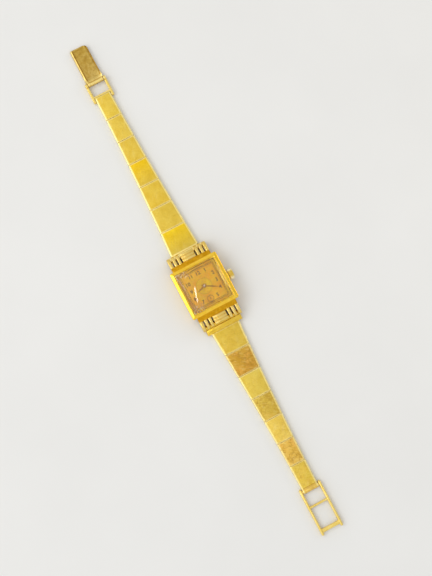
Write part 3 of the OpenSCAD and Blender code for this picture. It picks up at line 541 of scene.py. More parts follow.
# a size that a node tree takes as it is has the name of the tree's input
band = {
    "count": 7, "pitch": 8.75, "start": {"upper": 14.4, "lower": 15.8}, "gap": 0.18,
    "widthCase": 10.5, "widthClasp": 5.8, "taper": 1.65, "widthStep": 0.02, "Thickness": 1.6,
    "Side bevel": 0.26, "endBevel": {"upper": 0.04, "lower": 0.1}, "Crown": 0.07, "tongueShare": 0.4, "sideGap": 0.1,
    "forkInset": 0.35, "Pin height": 0.65, "Knuckle radius": 0.5, "Room radius": 0.6,
    # where the last links end: past the frame's bar, or short of the ladder's
    "lastEnd": {"upper": 74.81 + 0.75, "lower": 77.91 - 0.75}, "frameBar": (74.81, 0.8), "frameBarRadius": 0.8,
    # the tube round the spring bar, and the fold round the ladder's bar: place, half length, radius, lip
    "tube": ((0, 13.2, 1.2), 6.2, 1.05, 0.12), "tubePlate": ((-4.9, 14.0, 0.25), (4.9, 14.5, 1.5)),
    "fold": ((0, 77.91, 0.8), 3.05, 0.8, 0.25), "foldPlate": ((-2.85, 76.7, 0.2), (2.85, 77.5, 1.5)),
    "foldLine": 76.72, "foldTube": 77.0, "endWear": {"upper": 1.0, "lower": 0.9},
}
# how each link looks, from the case to the clasp: how scuffed it is, then the painted light and shade on its two ends,
# as tones
linkScuffs = {"upper": (0.1, 0.05, 0.05, 0.15, 0.05, 0.1, 0.05), "lower": (0.2, 1.0, 0.15, 0.7, 0.3, 0.9, 0.4)}
linkLightTones = {
    "upper": [((0.76, 0.76, 0.8), (1.04, 0.97, 0.16)), ((0.88, 0.86, 0.84), (0.88, 0.87, 0.84)),
              ((0.92, 0.88, 0.74), (0.92, 0.89, 0.78)), ((0.86, 0.84, 0.82), (1.1, 1.0, 0.14)),
              ((0.94, 0.92, 0.9), (0.94, 0.92, 0.9)), ((0.97, 0.97, 1.05), (0.97, 0.97, 1.05)),
              ((0.97, 0.97, 0.9), (0.98, 0.98, 1.1))],
    "lower": [((0.82, 0.8, 0.76), (0.82, 0.8, 0.8)), ((0.72, 0.6, 0.58), (0.66, 0.49, 0.45)),
              ((0.88, 0.9, 1.05), (0.86, 0.88, 1.0)), ((0.79, 0.76, 0.8), (0.77, 0.74, 0.8)),
              ((0.96, 0.94, 1.1), (1.02, 1.04, 1.5)), ((0.96, 0.84, 1.1), (0.95, 0.86, 1.2)),
              ((0.92, 0.92, 1.0), (0.94, 0.94, 1.0))],
}


def toStep(width):
    return round(width / band["widthStep"]) * band["widthStep"]


def linkWidth(i):
    left = (1 - i / band["count"]) ** band["taper"]
    return toStep(band["widthClasp"] + (band["widthCase"] - band["widthClasp"]) * left)


def tongueWidth(i):
    return toStep(band["tongueShare"] * linkWidth(i))


def buildLinkTree():
    tree, given = startTree("linkRule", {
        "Start": 0.0, "End": 8.0, "Start width": 10.0, "End width": 9.0, "Thickness": 1.6, "Side bevel": 0.4,
        "End bevel": 0.1, "Crown": 0.05})
    start, end, nearWidth, farWidth = (given[n] for n in ("Start", "End", "Start width", "End width"))
    cube = addNode(tree, "GeometryNodeMeshCube",
                   {"Size": (2, 2, 2), "Vertices X": 25, "Vertices Y": 21, "Vertices Z": 11}).outputs["Mesh"]
    unit = tree.nodes.new("GeometryNodeInputPosition").outputs[0]
    size = sizeOf(unit)
    spread = minus(plus(times(size, size), (3, 3, 3)), times(size, (3, 3, 3)))  # more rows near the edges
    length = minus(end, start)
    halfWidth = times(plus(nearWidth, farWidth), 0.25)
    halfHeight = times(given["Thickness"], 0.5)
    half = joinXyz(halfWidth, times(length, 0.5), halfHeight)
    # edges rounded with the two bevels as radii
    radii = joinXyz(given["Side bevel"], given["End bevel"], given["Side bevel"])
    flat = minus(half, radii)
    boxed = times(unit, spread, half)
    core = larger(calc("MINIMUM", boxed, flat), times(flat, (-1, -1, -1)))
    lean = calc("NORMALIZE", over(minus(boxed, core), radii))
    x, y, z = splitXyz(plus(core, times(lean, radii)))
    # narrower towards the clasp, and crowned on top
    widthHere = plus(nearWidth, times(plus(over(y, length), 0.5), minus(farWidth, nearWidth)))
    across = over(x, halfWidth)
    rise = minus(1.0, times(across, across))
    upper = over(larger(z, 0.0), halfHeight)
    drop = times(minus(rise, 1.0), upper, given["Crown"])
    place = joinXyz(times(across, times(widthHere, 0.5)), plus(y, times(plus(end, start), 0.5)),
                    plus(z, drop, halfHeight))
    return endTree(tree, given, placedNode(cube, place))


def buildHingeTree():
    tree, given = startTree("linkHingeRule", {
        "Near hinge": 0.0, "Far hinge": 8.75, "Near gap": 4.2, "Near width": 9.0, "Tongue": 3.8, "Pin height": 0.65,
        "Knuckle radius": 0.5, "Room radius": 0.6, "Fork": True, "Has tongue": True})
    near, far, nearGap, nearWidth, tongue, pin, knuckle, room = (given[n] for n in (
        "Near hinge", "Far hinge", "Near gap", "Near width", "Tongue", "Pin height", "Knuckle radius", "Room radius"))
    reach = plus(room, 0.05)

    def roomAt(hinge, width, offset, side):  # space for a knuckle to turn in, open below
        rod = rodNode(room, width, joinXyz(offset, hinge, pin))
        lowY = plus(hinge, times(room, 0.5 * side))
        return rod, blockNode(joinXyz(width, reach, 3.0), joinXyz(offset, lowY, minus(pin, 1.5)))

    def knuckleAt(hinge, width, offset, side):
        rod = rodNode(knuckle, width, joinXyz(offset, hinge, pin))
        webY, webZ = plus(hinge, times(reach, 0.5 * side)), minus(pin, times(knuckle, 0.5))
        return booleanNode("UNION", rod, blockNode(joinXyz(width, reach, knuckle), joinXyz(offset, webY, webZ)))

    def choose(flag, without, withIt):
        return addNode(tree, "GeometryNodeSwitch", {"Switch": given[flag], "False": without, "True": withIt},
                       input_type="GEOMETRY").outputs[0]

    # room beside the tongue at the far hinge, then the tongue's own knuckle
    body = given["Geometry"]
    sideWidth = minus(12.0, times(tongue, 0.5))
    sideAt = plus(times(tongue, 0.5), times(sideWidth, 0.5))
    cutters = [part for side in (-1.0, 1.0) for part in roomAt(far, sideWidth, times(sideAt, side), -1)]
    tongued = booleanNode("UNION", booleanNode("DIFFERENCE", body, *cutters), knuckleAt(far, tongue, 0.0, -1))
    body = choose("Has tongue", body, tongued)
    # the fork at the near hinge, with room for the neighbour's tongue
    forkWidth = times(minus(nearWidth, nearGap), 0.5)
    forkAt = times(plus(nearWidth, nearGap), 0.25)
    arms = [knuckleAt(near, forkWidth, times(forkAt, side), 1) for side in (-1.0, 1.0)]
    forked = booleanNode("DIFFERENCE", booleanNode("UNION", body, *arms), *roomAt(near, nearGap, 0.0, 1))
    return endTree(tree, given, choose("Fork", body, forked))


linkTree = buildLinkTree()
hingeTree = buildHingeTree()


def addFloats(mesh, name, values):  # a list, or one value for all points
    values = [values] * len(mesh.vertices) if isinstance(values, float) else values
    mesh.attributes.new(name, "FLOAT", "POINT").data.foreach_set("value", values)


def paintLink(mesh, half, i, start, end):
    near, far = linkLightTones[half][i - 1]
    nearWidth, farWidth = linkWidth(i - 1), linkWidth(i)
    middle = (nearWidth + farWidth) / 4
    # colour: painted light and shade for each link end; alpha: how pale the link goes there
    layer = mesh.color_attributes.new("lightAndWear", "FLOAT_COLOR", "POINT")
    across = []
    for vertex, item in zip(mesh.vertices, layer.data):
        x, y = vertex.co.x, vertex.co.y
        t = share(y, start, end)
        tip = min(y - start, end - y) - band["gap"] / 2
        # the link ends go pale: partly wear, partly a painted highlight beside the joints
        wear = max(min(band["endWear"][half], 1.4 - tip / 0.22), 0.0)
        item.color = tuple(a + (b - a) * t for a, b in zip(near, far)) + (wear,)
        across.append(x * 2 * middle / (nearWidth + (farWidth - nearWidth) * t))
        if half == "lower" and i == band["count"] and y > band["foldLine"]:  # painted shade: a dark line in the crease before the fold, then a redder tube
            item.color = (0.97, 0.88, 1.0, 0.2) if y > band["foldTube"] else (0.62, 0.5, 0.4, 0.0)
    addFloats(mesh, "across", across)
    addFloats(mesh, "reach", middle)
    addFloats(mesh, "scuff", linkScuffs[half][i - 1])


def makeLink(half, i):
    first, last = i == 1, i == band["count"]
    name, gap = f"{half}Link{i}", band["gap"] / 2
    near = band["start"][half] - gap + (i - 1) * band["pitch"]
    far = band["start"][half] - gap + i * band["pitch"]
    end = band["lastEnd"][half] if last else far - gap
    blank = growMesh(linkTree, name, bandGold, {
        **band, "Start": near + gap, "End": end, "Start width": linkWidth(i - 1), "End width": linkWidth(i),
        "End bevel": band["endBevel"][half]})
    mesh = growMesh(hingeTree, name + "Shape", bandGold, {
        **band, "Near hinge": near, "Far hinge": far, "Near gap": tongueWidth(i - 1) + 2 * band["sideGap"],
        "Near width": linkWidth(i - 1) - band["forkInset"], "Tongue": tongueWidth(i), "Fork": not first,
        "Has tongue": not last}, blank)
    bm = bmeshOf(mesh)
    for rod, plate, wanted in (("tube", "tubePlate", half == "upper" and first),
                               ("fold", "foldPlate", half == "lower" and last)):
        if wanted:
            addTurned(bm, roundRod(*band[rod][1:]), band[rod][0])
            addBlock(bm, *band[plate], 0.1)
    bm.to_mesh(mesh)
    bm.free()
    if last and half == "upper":  # the underside is rounded off to swing on the frame's bar
        (barY, barZ), radius = band["frameBar"], band["frameBarRadius"]
        for vertex in mesh.vertices:
            y, z = vertex.co.y - barY, vertex.co.z
            if y > 0 and z < barZ and math.hypot(y, z - barZ) > radius:
                k = radius / math.hypot(y, z - barZ)
                vertex.co.y, vertex.co.z = barY + y * k, barZ + (z - barZ) * k
    paintLink(mesh, half, i, near, end + 0.1 if last else far)
    finishPiece(name, mesh, f"{half}_{i}", bandGold, [f"{half}_link_{i}"], 28,
                halfTurn if half == "lower" else None)


for half in ("upper", "lower"):
    for i in range(1, band["count"] + 1):
        makeLink(half, i)
print("links made")


# case and bezel

bezel = {
    "corner": 0.6, "steps": 6, "outer": 8.8,
    # half width and height round the section, from the outer foot over the rim to the crystal's seat
    "section": [(8.72, 5.2), (8.8, 5.27), (8.8, 5.98), (8.77, 6.08), (8.69, 6.16), (8.56, 6.22), (8.1, 6.36),
                (7.78, 6.46), (7.71, 6.47), (7.64, 6.44), (7.6, 6.36), (7.6, 5.5), (7.12, 5.5), (7.1, 5.48),
                (7.1, 5.2)],
}


def makeBezel():
    bm = bmesh.new()
    loops = []
    for half, z in bezel["section"]:
        r = max(bezel["corner"] - (bezel["outer"] - half), 0.02)
        loop = []
        for q in range(4):
            middle = Matrix.Rotation(q * quarter, 4, "Z") @ Vector((half - r, half - r, 0))
            for k in range(bezel["steps"] + 1):
                a = q * quarter + k * quarter / bezel["steps"]
                loop.append(bm.verts.new((middle.x + r * math.cos(a), middle.y + r * math.sin(a), z)))
        loops.append(loop)
    loftRings(bm, loops, closed=True)
    finishPiece("bezelFrame", meshFrom(facingOut(bm), "bezelFrame"), "case", polishedGold, ["bezel"], 32)


makeBezel()
dressCopy("caseBand", "case_band", "case", polishedGold, 0.1)
dressCopy("caseBackPlate", "case_back", "case", wornGold, 0.12)
dressCopy("lowerEndBar", "lower_end_bar", "lower_1", barGold, 0.14)
dressCopy("claspFrame", "clasp_frame", "frame", paleGold, 0.16)


# flap of the clasp: an open channel whose near end is rolled round its pin

flap = {
    "hinge": (80.66, 1.62), "roll": 0.6, "tip": 94.56, "rollHalf": 2.95, "wallStart": 81.72, "nearHalf": 3.2,
    "farHalf": 3.125, "rim": 1.5, "floor": 0.35, "lipEnd": 83.5, "cornerLeft": 0.6, "cornerRight": 1.5,
    # how far from the edge each long wall starts to fall, ends, and how wide its rounded edge is
    "leftWall": (0.5, 1.0, 0.5), "rightWall": (0.14, 0.44, 0.3),
}


def makeFlap():
    f = flap
    hingeY, hingeZ = f["hinge"]
    under = hingeY - f["floor"]  # where the rolled end meets the flat underside

    def halfAt(y):
        if y < f["wallStart"]:
            return f["rollHalf"]
        return f["nearHalf"] + (f["farHalf"] - f["nearHalf"]) * (y - f["wallStart"]) / (f["tip"] - f["wallStart"])

    def fall(d, first, last):
        return 0.5 + 0.5 * math.cos(math.pi * share(d, first, last))

    def rollAt(y):
        return math.sqrt(max(f["roll"] ** 2 - (hingeY - y) ** 2, 0.0))

    def topAt(x, y):
        side, far = halfAt(y) - abs(x), f["tip"] - y
        bay = max(abs(x) - 1.4, 0.0)
        lip = fall(y - 0.5 * bay * bay, hingeY, f["lipEnd"])
        near, wide, edge = f["leftWall"] if x < 0 else f["rightWall"]
        rims = (fall(side, near, wide) ** 2 + 0.06 * fall(far, 0.3, 0.8) ** 2 + lip ** 2) ** 0.5
        crest = f["rim"] + (hingeZ + f["roll"] - f["rim"]) * fall(y, hingeY + 0.25, f["wallStart"])
        z = f["floor"] + min(rims, 1.0) * (crest - f["floor"])
        d = min(min(side, far) / edge, 1.0)
        low = 0.4 + (hingeZ - 0.4) * lip
        z = low + (z - low) * math.sqrt(max(1 - (1 - d) ** 2, 0.0))
        return min(z, hingeZ + rollAt(y)) if y < hingeY else z

    def underAt(x, y):
        if y < under + 0.001:
            return hingeZ - rollAt(y)
        return 0.0 if y < f["tip"] - 0.02 else 0.08

    across = [-1, -0.992, -0.98, -0.965, -0.945, -0.92, -0.89, -0.85, -0.81, -0.77, -0.73, -0.69, -0.65, -0.61,
              -0.57, -0.5, -0.4, -0.2, 0]
    across += [-v for v in reversed(across[:-1])]
    along = [hingeY - f["roll"] + 0.6 * (1 - math.cos(quarter * k / 6)) for k in range(7)]
    along += [under, under + 0.004, f["wallStart"] - 0.01, f["wallStart"]]
    along += [hingeY + 0.2 * k for k in range(1, 12)] + [83.2 + 0.9 * k for k in range(12)]
    along += [f["tip"] - v for v in (0.0, 0.02, 0.06, 0.12, 0.2, 0.3, 0.42, 0.56, 0.7, 0.84, 1.0)]
    bm = bmesh.new()

    def sheet(heightAt):
        grid = []
        for y in sorted(set(along)):
            row = []
            for u in across:
                px, py = u * halfAt(y), y
                z = heightAt(px, y)
                r = f["cornerRight"] if u > 0 else f["cornerLeft"]
                limitX, limitY = halfAt(y) - r, f["tip"] - r
                if abs(px) > limitX and y > limitY:
                    px, py = roundCorner(px, y, limitX, limitY)
                row.append(bm.verts.new((px, py, max(z, 0.0))))
            grid.append(row)
        return grid

    addSheets(bm, sheet(topAt), sheet(underAt))
    bmesh.ops.remove_doubles(bm, verts=bm.verts, dist=0.0004)
    mesh = meshFrom(facingOut(bm), "claspFlap")
    layer = mesh.color_attributes.new("lightAndWear", "FLOAT_COLOR", "POINT")
    for vertex, item in zip(mesh.vertices, layer.data):
        x, y, z = vertex.co
        # the raised rims go pale: partly wear, partly a painted highlight
        pale = share(z, f["floor"] + 0.1, f["floor"] + 0.7)
        near = share(y, f["tip"], f["tip"] - 11)  # paler towards the hinge
        lightAndWear = (0.92 + 0.14 * near, 0.9 + 0.2 * near, 0.8 + 0.6 * near)
        if x > 2.4 and y > f["lipEnd"]:  # painted shade: the right wall keeps nearly the floor's tone and hardly goes pale
            item.color = tuple(a * b for a, b in zip(lightAndWear, (0.86, 0.92, 1.1))) + (0.1 * pale,)
        else:
            item.color = lightAndWear + (pale,)
    addFloats(mesh, "scuff", 0.4)
    addFloats(mesh, "reach", 9.0)
    finishPiece("claspFlap", mesh, "flap", flapGold, ["clasp_flap"], 40)


makeFlap()
print("case made")


# hooded lugs: the shoulder, the ribs and the stepped block between them

hood = {
    "root": 8.5, "width": 14.7, "ribStart": 10.5, "end": 14.0, "ribTop": 4.35, "top": 5.15,
    "bottom": 0.9, "pocketTop": 2.45, "pocketStart": 12.0, "noseRadius": 1.5, "rounding": 0.18,
    "blockWidth": 4.9, "ribGap": 0.55, "ribWidth": 1.05, "blockEnd": 13.5,
    "springBar": (13.2, 1.2), "bossHalf": 0.5, "bossRadius": 0.8,
    "bars": ((10.4, 11.45), (11.55, 12.45), (12.55, 13.48)), "barRise": 0.2,
    "roof": ((-7.3, 10.3, 0.95), (7.3, 10.55, 4.0)),
}


def ribProfile():
    start, nose = hood["ribStart"] - 0.4, hood["noseRadius"]
    noseY, noseZ = hood["end"] - nose, hood["ribTop"] - nose - 0.1
    arc = [(noseY + nose * math.cos(a), noseZ + nose * math.sin(a))
           for a in (math.radians(90 - 15 * k) for k in range(7))]
    pocket = [(hood["end"], hood["pocketTop"]), (hood["pocketStart"], hood["pocketTop"]),
              (hood["pocketStart"], hood["bottom"])]
    return [(start, hood["bottom"]), (start, hood["ribTop"])] + arc + pocket


def buildRibTree():
    tree, given = startTree("ribRule", {
        "Inner edge": 3.0, "Rib width": 1.05, "Rib gap": 0.55, "Inner ribs": 2, "Outer edge": 7.35})
    ribWidth, inner = given["Rib width"], given["Inner ribs"]
    points = addNode(tree, "GeometryNodePoints", {"Count": plus(inner, 1)}).outputs[0]
    index = tree.nodes.new("GeometryNodeInputIndex").outputs[0]
    low = plus(given["Inner edge"], times(index, plus(ribWidth, given["Rib gap"])))
    # the outermost rib fills the room that is left
    outer = calc("GREATER_THAN", index, minus(inner, 0.5))
    width = plus(ribWidth, times(outer, minus(minus(given["Outer edge"], low), ribWidth)))
    placed = placedNode(points, joinXyz(plus(low, times(width, 0.5))))
    row = addNode(tree, "GeometryNodeInstanceOnPoints",
                  {"Points": placed, "Instance": given["Geometry"], "Scale": joinXyz(width, 1.0, 1.0)}).outputs[0]
    mirrored = addNode(tree, "GeometryNodeRealizeInstances", {0: movedNode(row, scale=(-1, 1, 1))}).outputs[0]
    flipped = addNode(tree, "GeometryNodeFlipFaces", {"Mesh": mirrored}).outputs[0]
    both = addNode(tree, "GeometryNodeJoinGeometry", {0: row})
    feed(both.inputs[0], flipped)
    return endTree(tree, given, both.outputs[0])


def makeHoods():
    h = hood
    halfWidth = h["width"] / 2
    ribs = growMesh(buildRibTree(), "hoodRibs", wornGold, {
        "Inner edge": h["blockWidth"] / 2 + h["ribGap"], "Rib width": h["ribWidth"], "Rib gap": h["ribGap"],
        "Inner ribs": 2, "Outer edge": halfWidth}, meshFrom(profileSolid(ribProfile(), 0.5), "ribBase"))
    bm = bmeshOf(roundedEdges(ribs, "hoodRibsRound", h["rounding"], 4, 40))
    for side in (-1, 1):  # the bosses that hold the spring bar
        addTurned(bm, roundRod(h["bossHalf"], h["bossRadius"]), (side * (halfWidth - h["bossHalf"]), *h["springBar"]))
        addBlock(bm, (side * 6.85 - 0.45, 12.4, 1.2), (side * 6.85 + 0.45, 13.7, 2.6), 0.1)
    finishPiece("hoodRibs", atBothEnds(bm, "hoodRibs"), "case", wornGold, ["lug_hoods"], 40)

    back, front = h["root"] - 0.3, h["ribStart"]
    slope = [(back, h["bottom"]), (back, h["top"]), (8.8, h["top"]), (9.1, h["top"] - 0.02),
             (10.3, h["ribTop"] + 0.08), (front, h["ribTop"] - 0.1), (front, h["pocketTop"] + 0.02),
             (front, h["bottom"])]
    bm = bmeshOf(roundedEdges(meshFrom(profileSolid(slope, halfWidth), "slope"), "hoodShoulder", h["rounding"], 4, 40))
    addBlock(bm, *h["roof"], 0.05)  # the pocket's roof, behind the ribs
    finishPiece("hoodShoulders", atBothEnds(bm, "hoodShoulder"), "case", shadedShoulderGold, ["lug_hoods"], 30)


def makeBlocks():
    back, top, low = hood["ribStart"] - 0.2, hood["ribTop"] - 0.15, hood["pocketTop"]
    points = [(back, low), (back, top - 0.25)]
    for y0, y1 in hood["bars"]:  # half-round bars with grooves between
        for k in range(9):
            a = math.pi * (1 - k / 8)
            points.append(((y0 + y1) / 2 + math.cos(a) * (y1 - y0) / 2, top + hood["barRise"] * (math.sin(a) - 1)))
    points += [(hood["blockEnd"], top - 0.6), (hood["blockEnd"], low)]
    mesh = roundedEdges(meshFrom(profileSolid(points, hood["blockWidth"] / 2), "block"), "lugBlock", 0.08, 2, 50)
    finishPiece("lugBlocks", atBothEnds(bmeshOf(mesh), "lugBlocks"), "case", wornGold, ["lug_blocks"])


makeHoods()
makeBlocks()
print("lugs made")


# crystal

crystal = {"half": 7.57, "corner": 0.06, "bottom": 5.52, "edgeTop": 6.42, "slopeWidth": 1.4, "top": 7.8,
           "domeRadius": 39.0, "thickness": 0.9, "soft": 0.12}


def softMin(a, b):
    h = max(crystal["soft"] - abs(a - b), 0.0) / crystal["soft"]
    return min(a, b) - h * h * crystal["soft"] * 0.25


def makeCrystal():
    c = crystal
    outer, flat, limit = c["half"], c["half"] - c["slopeWidth"], c["half"] - c["corner"]
    rise = c["top"] - flat * flat / (2 * c["domeRadius"]) - c["edgeTop"]

    def topAt(x, y):
        dome = c["top"] - (x * x + y * y) / (2 * c["domeRadius"])
        slopes = [c["edgeTop"] + (c["half"] - abs(v)) * rise / c["slopeWidth"] for v in (x, y)]
        return softMin(softMin(dome, slopes[0]), softMin(dome, slopes[1]))

    def underAt(x, y):
        return max(topAt(x, y) - c["thickness"], c["bottom"])

    stops = [outer, outer - 0.04, outer - 0.12] + [outer - 0.25 - 0.125 * k for k in range(10)]
    stops += [flat + 0.1, flat, flat - 0.1, flat - 0.25] + [0.6 * k for k in range(1, 10)]
    stops = sorted(set(round(v, 4) for v in stops))
    stops = [-v for v in reversed(stops)] + [0.0] + stops
    bm = bmesh.new()

    def sheet(heightAt):
        grid = []
        for y in stops:
            places = [roundCorner(x, y, limit, limit) if min(abs(x), abs(y)) > limit else (x, y) for x in stops]
            grid.append([bm.verts.new((px, py, heightAt(px, py))) for px, py in places])
        return grid

    addSheets(bm, sheet(topAt), sheet(underAt))
    mesh = meshFrom(facingOut(bm), "crystalDome")
    finishPiece("crystalDome", mesh, "case", clearCrystal, ["crystal"], 30)
    mesh.materials.append(crystalBed)  # the edge that is bedded in the bezel
    for face in mesh.polygons:
        face.material_index = int(max(abs(face.center.x), abs(face.center.y)) * 1000 > outer - 0.02)


makeCrystal()
print("crystal made")


# dial, its printing and the hands

dial = {
    "top": 4.95, "lift": 0.004, "print": 0.02, "line": 0.09, "numeral": 1.75, "numeralAt": 4.75, "bold": 0.035,
    "hours": (12, 1, 2, 3, 4, 5, 7, 8, 9, 10, 11), "trackIn": 5.9, "trackOut": 6.28,
    # the small seconds ring stands a step lower
    "secondsY": -4.7, "secondsIn": 0.85, "secondsRadius": 1.1, "secondsTick": 0.07, "secondsLine": 0.08,
    "secondsDrop": -0.1,
}


def buildTrackTree():
    tree, given = startTree("minuteTrackRule", {
        "Count": 60, "Inner": 5.95, "Outer": 6.35, "Line": 0.09, "Height": 0.02, "Squareness": 1.0})
    inner, outer, height, squareness = (given[n] for n in ("Inner", "Outer", "Height", "Squareness"))
    points = addNode(tree, "GeometryNodePoints", {"Count": given["Count"]}).outputs[0]
    index = tree.nodes.new("GeometryNodeInputIndex").outputs[0]
    angle = times(over(index, given["Count"]), 2 * math.pi)
    east, north = calc("COSINE", angle), calc("SINE", angle)
    square = over(1.0, larger(sizeOf(east), sizeOf(north)))
    reach = times(times(plus(inner, outer), 0.5), plus(1.0, times(squareness, minus(square, 1.0))))
    placed = placedNode(points, joinXyz(times(east, reach), times(north, reach), times(height, 0.5)))
    tick = addNode(tree, "GeometryNodeMeshCube",
                   {"Size": joinXyz(minus(outer, inner), given["Line"], height)}).outputs["Mesh"]
    # on a square track a tick stands across the nearer side
    flat = times(calc("GREATER_THAN", sizeOf(north), sizeOf(east)), quarter)
    turn = plus(times(angle, minus(1.0, squareness)), times(flat, squareness))
    made = addNode(tree, "GeometryNodeInstanceOnPoints",
                   {"Points": placed, "Instance": tick, "Rotation": joinXyz(0.0, 0.0, turn)}).outputs[0]
    return endTree(tree, given, made)


def addFrameLine(bm, half, line, height):
    out, inside = half + line / 2, half - line / 2
    for q in range(4):
        turn = Matrix.Rotation(q * quarter, 4, "Z")
        corners = [turn @ Vector((x, y, 0)) for x, y in ((-out, inside), (out, inside), (out, out), (-out, out))]
        addPrism(bm, [(c.x, c.y, height) for c in corners], [(c.x, c.y, 0.0) for c in corners])


def addRing(bm, centreY, radius, line, low, high):
    out, inside = radius + line / 2, radius - line / 2
    loops = [[bm.verts.new((r * c, centreY + r * s, z)) for c, s in circle(64)]
             for r, z in ((inside, low), (out, low), (out, high), (inside, high))]
    loftRings(bm, loops, closed=True)


def makeDialPrint():
    d = dial
    trackTree = buildTrackTree()
    track = growMesh(trackTree, "minuteTrack", dialPrint, {
        "Count": 60, "Inner": d["trackIn"], "Outer": d["trackOut"], "Line": d["line"], "Height": d["print"],
        "Squareness": 1.0})
    small = growMesh(trackTree, "secondsTrack", dialPrint, {
        "Count": 12, "Inner": d["secondsIn"], "Outer": d["secondsRadius"], "Line": d["secondsTick"],
        "Height": d["print"], "Squareness": 0.0})
    small.transform(Matrix.Translation((0, d["secondsY"], d["secondsDrop"])))
    bm = bmeshOf(track, small)
    for half in (d["trackIn"], d["trackOut"]):
        addFrameLine(bm, half, d["line"], d["print"])
    addRing(bm, d["secondsY"], d["secondsRadius"], d["secondsLine"], d["secondsDrop"], d["print"] + d["secondsDrop"])
    bmesh.ops.translate(bm, vec=(0, 0, d["top"] + d["lift"]), verts=bm.verts)
    finishPiece("dialTrack", meshFrom(bm, "dialTrack"), "case", dialPrint, (), 30)

    numerals = []
    for hour in d["hours"]:
        curve = bpy.data.curves.new(f"numeral{hour}", "FONT")
        curve.body, curve.size = str(hour), d["numeral"]
        curve.extrude, curve.offset = d["print"] / 2, d["bold"]
        curve.align_x = curve.align_y = "CENTER"
        mesh = bakedMesh(addObject(curve.name, curve), curve.name)
        a = math.radians(90 - 30 * hour)
        x, y = math.cos(a), math.sin(a)
        k = d["numeralAt"] / max(abs(x), abs(y))
        mesh.transform(Matrix.Translation((x * k, y * k, d["top"] + d["lift"] + d["print"] / 2)))
        numerals.append(mesh)
    bm = bmeshOf(*numerals)
    bmesh.ops.remove_doubles(bm, verts=bm.verts, dist=0.0002)
    finishPiece("dialNumerals", meshFrom(bm, "dialNumerals"), "case", dialPrint, (), 30)


makeDialPrint()
dressCopy("dialPlate", "dial", "case", dialCopper, 0.04, 2)
for name, node, body in (("hourHand", "hour_hand", "hour"), ("minuteHand", "minute_hand", "cannon"),
                         ("secondsHand", "seconds_hand", "fourth_wheel")):
    dressCopy(name, node, body, handBronze, 0.03, 2, 50)
print("dial and hands made")


# crown

crown = {"Radius": 1.9, "Length": 1.69, "Flutes": 24, "Depth": 0.2, "Shoulder": 0.3, "place": (9.3, -0.35, 2.4),
         "neck": [(-0.4, 0.9), (-0.4, 0.95), (0.1, 0.95), (0.1, 0.9)]}


def buildCrownTree():
    tree, given = startTree("crownRule", {"Radius": 1.9, "Length": 1.75, "Flutes": 24, "Depth": 0.16, "Shoulder": 0.35})
    tube = addNode(tree, "GeometryNodeMeshCylinder", {
        "Vertices": 192, "Side Segments": 24, "Fill Segments": 8, "Radius": 1.0, "Depth": 2.0}).outputs["Mesh"]
    x, y, z = splitXyz(tree.nodes.new("GeometryNodeInputPosition").outputs[0])
    reach = calc("SQRT", plus(times(x, x), times(y, y)))
    wave = sizeOf(calc("SINE", times(calc("ARCTAN2", y, x), times(given["Flutes"], 0.5))))
    # the flutes fade towards both ends, where the rim is rounded, and the far end is a low dome
    depth = times(given["Depth"], minus(1.0, calc("POWER", sizeOf(z), 6.0)))
    groove = times(depth, minus(1.0, calc("POWER", wave, 0.6)))
    rim = times(given["Shoulder"], calc("POWER", sizeOf(z), 8.0))
    radius = minus(minus(given["Radius"], groove), rim)
    dome = times(calc("GREATER_THAN", z, 0.999), times(0.16, minus(1.0, times(reach, reach))))
    height = plus(times(plus(z, 1.0), times(given["Length"], 0.5)), dome)
    return endTree(tree, given, placedNode(tube, joinXyz(times(x, radius), times(y, radius), height)))


def makeCrown():
    bm = bmeshOf(growMesh(buildCrownTree(), "crownKnob", crownGold, crown))
    addTurned(bm, crown["neck"], (0, 0, 0), 48, "Z")
    place = Matrix.Translation(crown["place"]) @ Matrix.Rotation(quarter, 4, "Y")
    mesh = meshFrom(facingOut(bm), "crownKnob")
    finishPiece("crownKnob", mesh, "crown", crownGold, ["crown"], 50, place)


makeCrown()
print("crown made")


# ladder of the clasp

ladder = {
    "hinge": 77.91, "z": 0.8, "inner": 6.45, "rail": 0.85, "height": 1.6, "start": 76.66, "length": 17.39,
    "hingeBarRadius": 0.38,
    # distance from the hinge, radius and width to height of the bridge and the end bar
    "bars": ((5.75, 0.4, 1.0), (14.525, 0.5, 1.4)),
}


def makeLadder():
    c = ladder
    bm = bmesh.new()
    for side in (-1, 1):  # rails with half-round ends and a round top
        x, middle = side * (c["inner"] + c["rail"]) / 2, c["start"] + c["length"] / 2
        straight = (c["length"] - c["height"]) / 2
        rings = []
        for across in (-1.0, -0.82, -0.5, 0.0, 0.5, 0.82, 1.0):
            r = c["height"] / 2 - 0.26 * abs(across) ** 3
            rings.append([bm.verts.new((x + across * c["rail"] / 2, middle + math.copysign(straight, u) + r * u,
                                        c["z"] + r * v)) for u, v in circle(40)])
        loftRings(bm, rings)
    half = c["inner"] / 2 + 0.15
    addTurned(bm, [(-half, c["hingeBarRadius"]), (half, c["hingeBarRadius"])], (0, c["hinge"], c["z"]), 32)
    for at, radius, wide in c["bars"]:  # a little thicker where a bar meets the rails
        rings = []
        for k in range(13):
            t = -1 + k / 6
            r = radius * (1 + 0.08 * t ** 6)
            rings.append([bm.verts.new((t * half, c["hinge"] + at + r * wide * u, c["z"] + r * v))
                          for u, v in circle(24)])
        loftRings(bm, rings)
    finishPiece("claspLadder", meshFrom(facingOut(bm), "claspLadder"), "ladder", paleGold,
                ["ladder"], 50, halfTurn)


makeLadder()
print("ladder made")


# finishes on the CAD nodes that stay

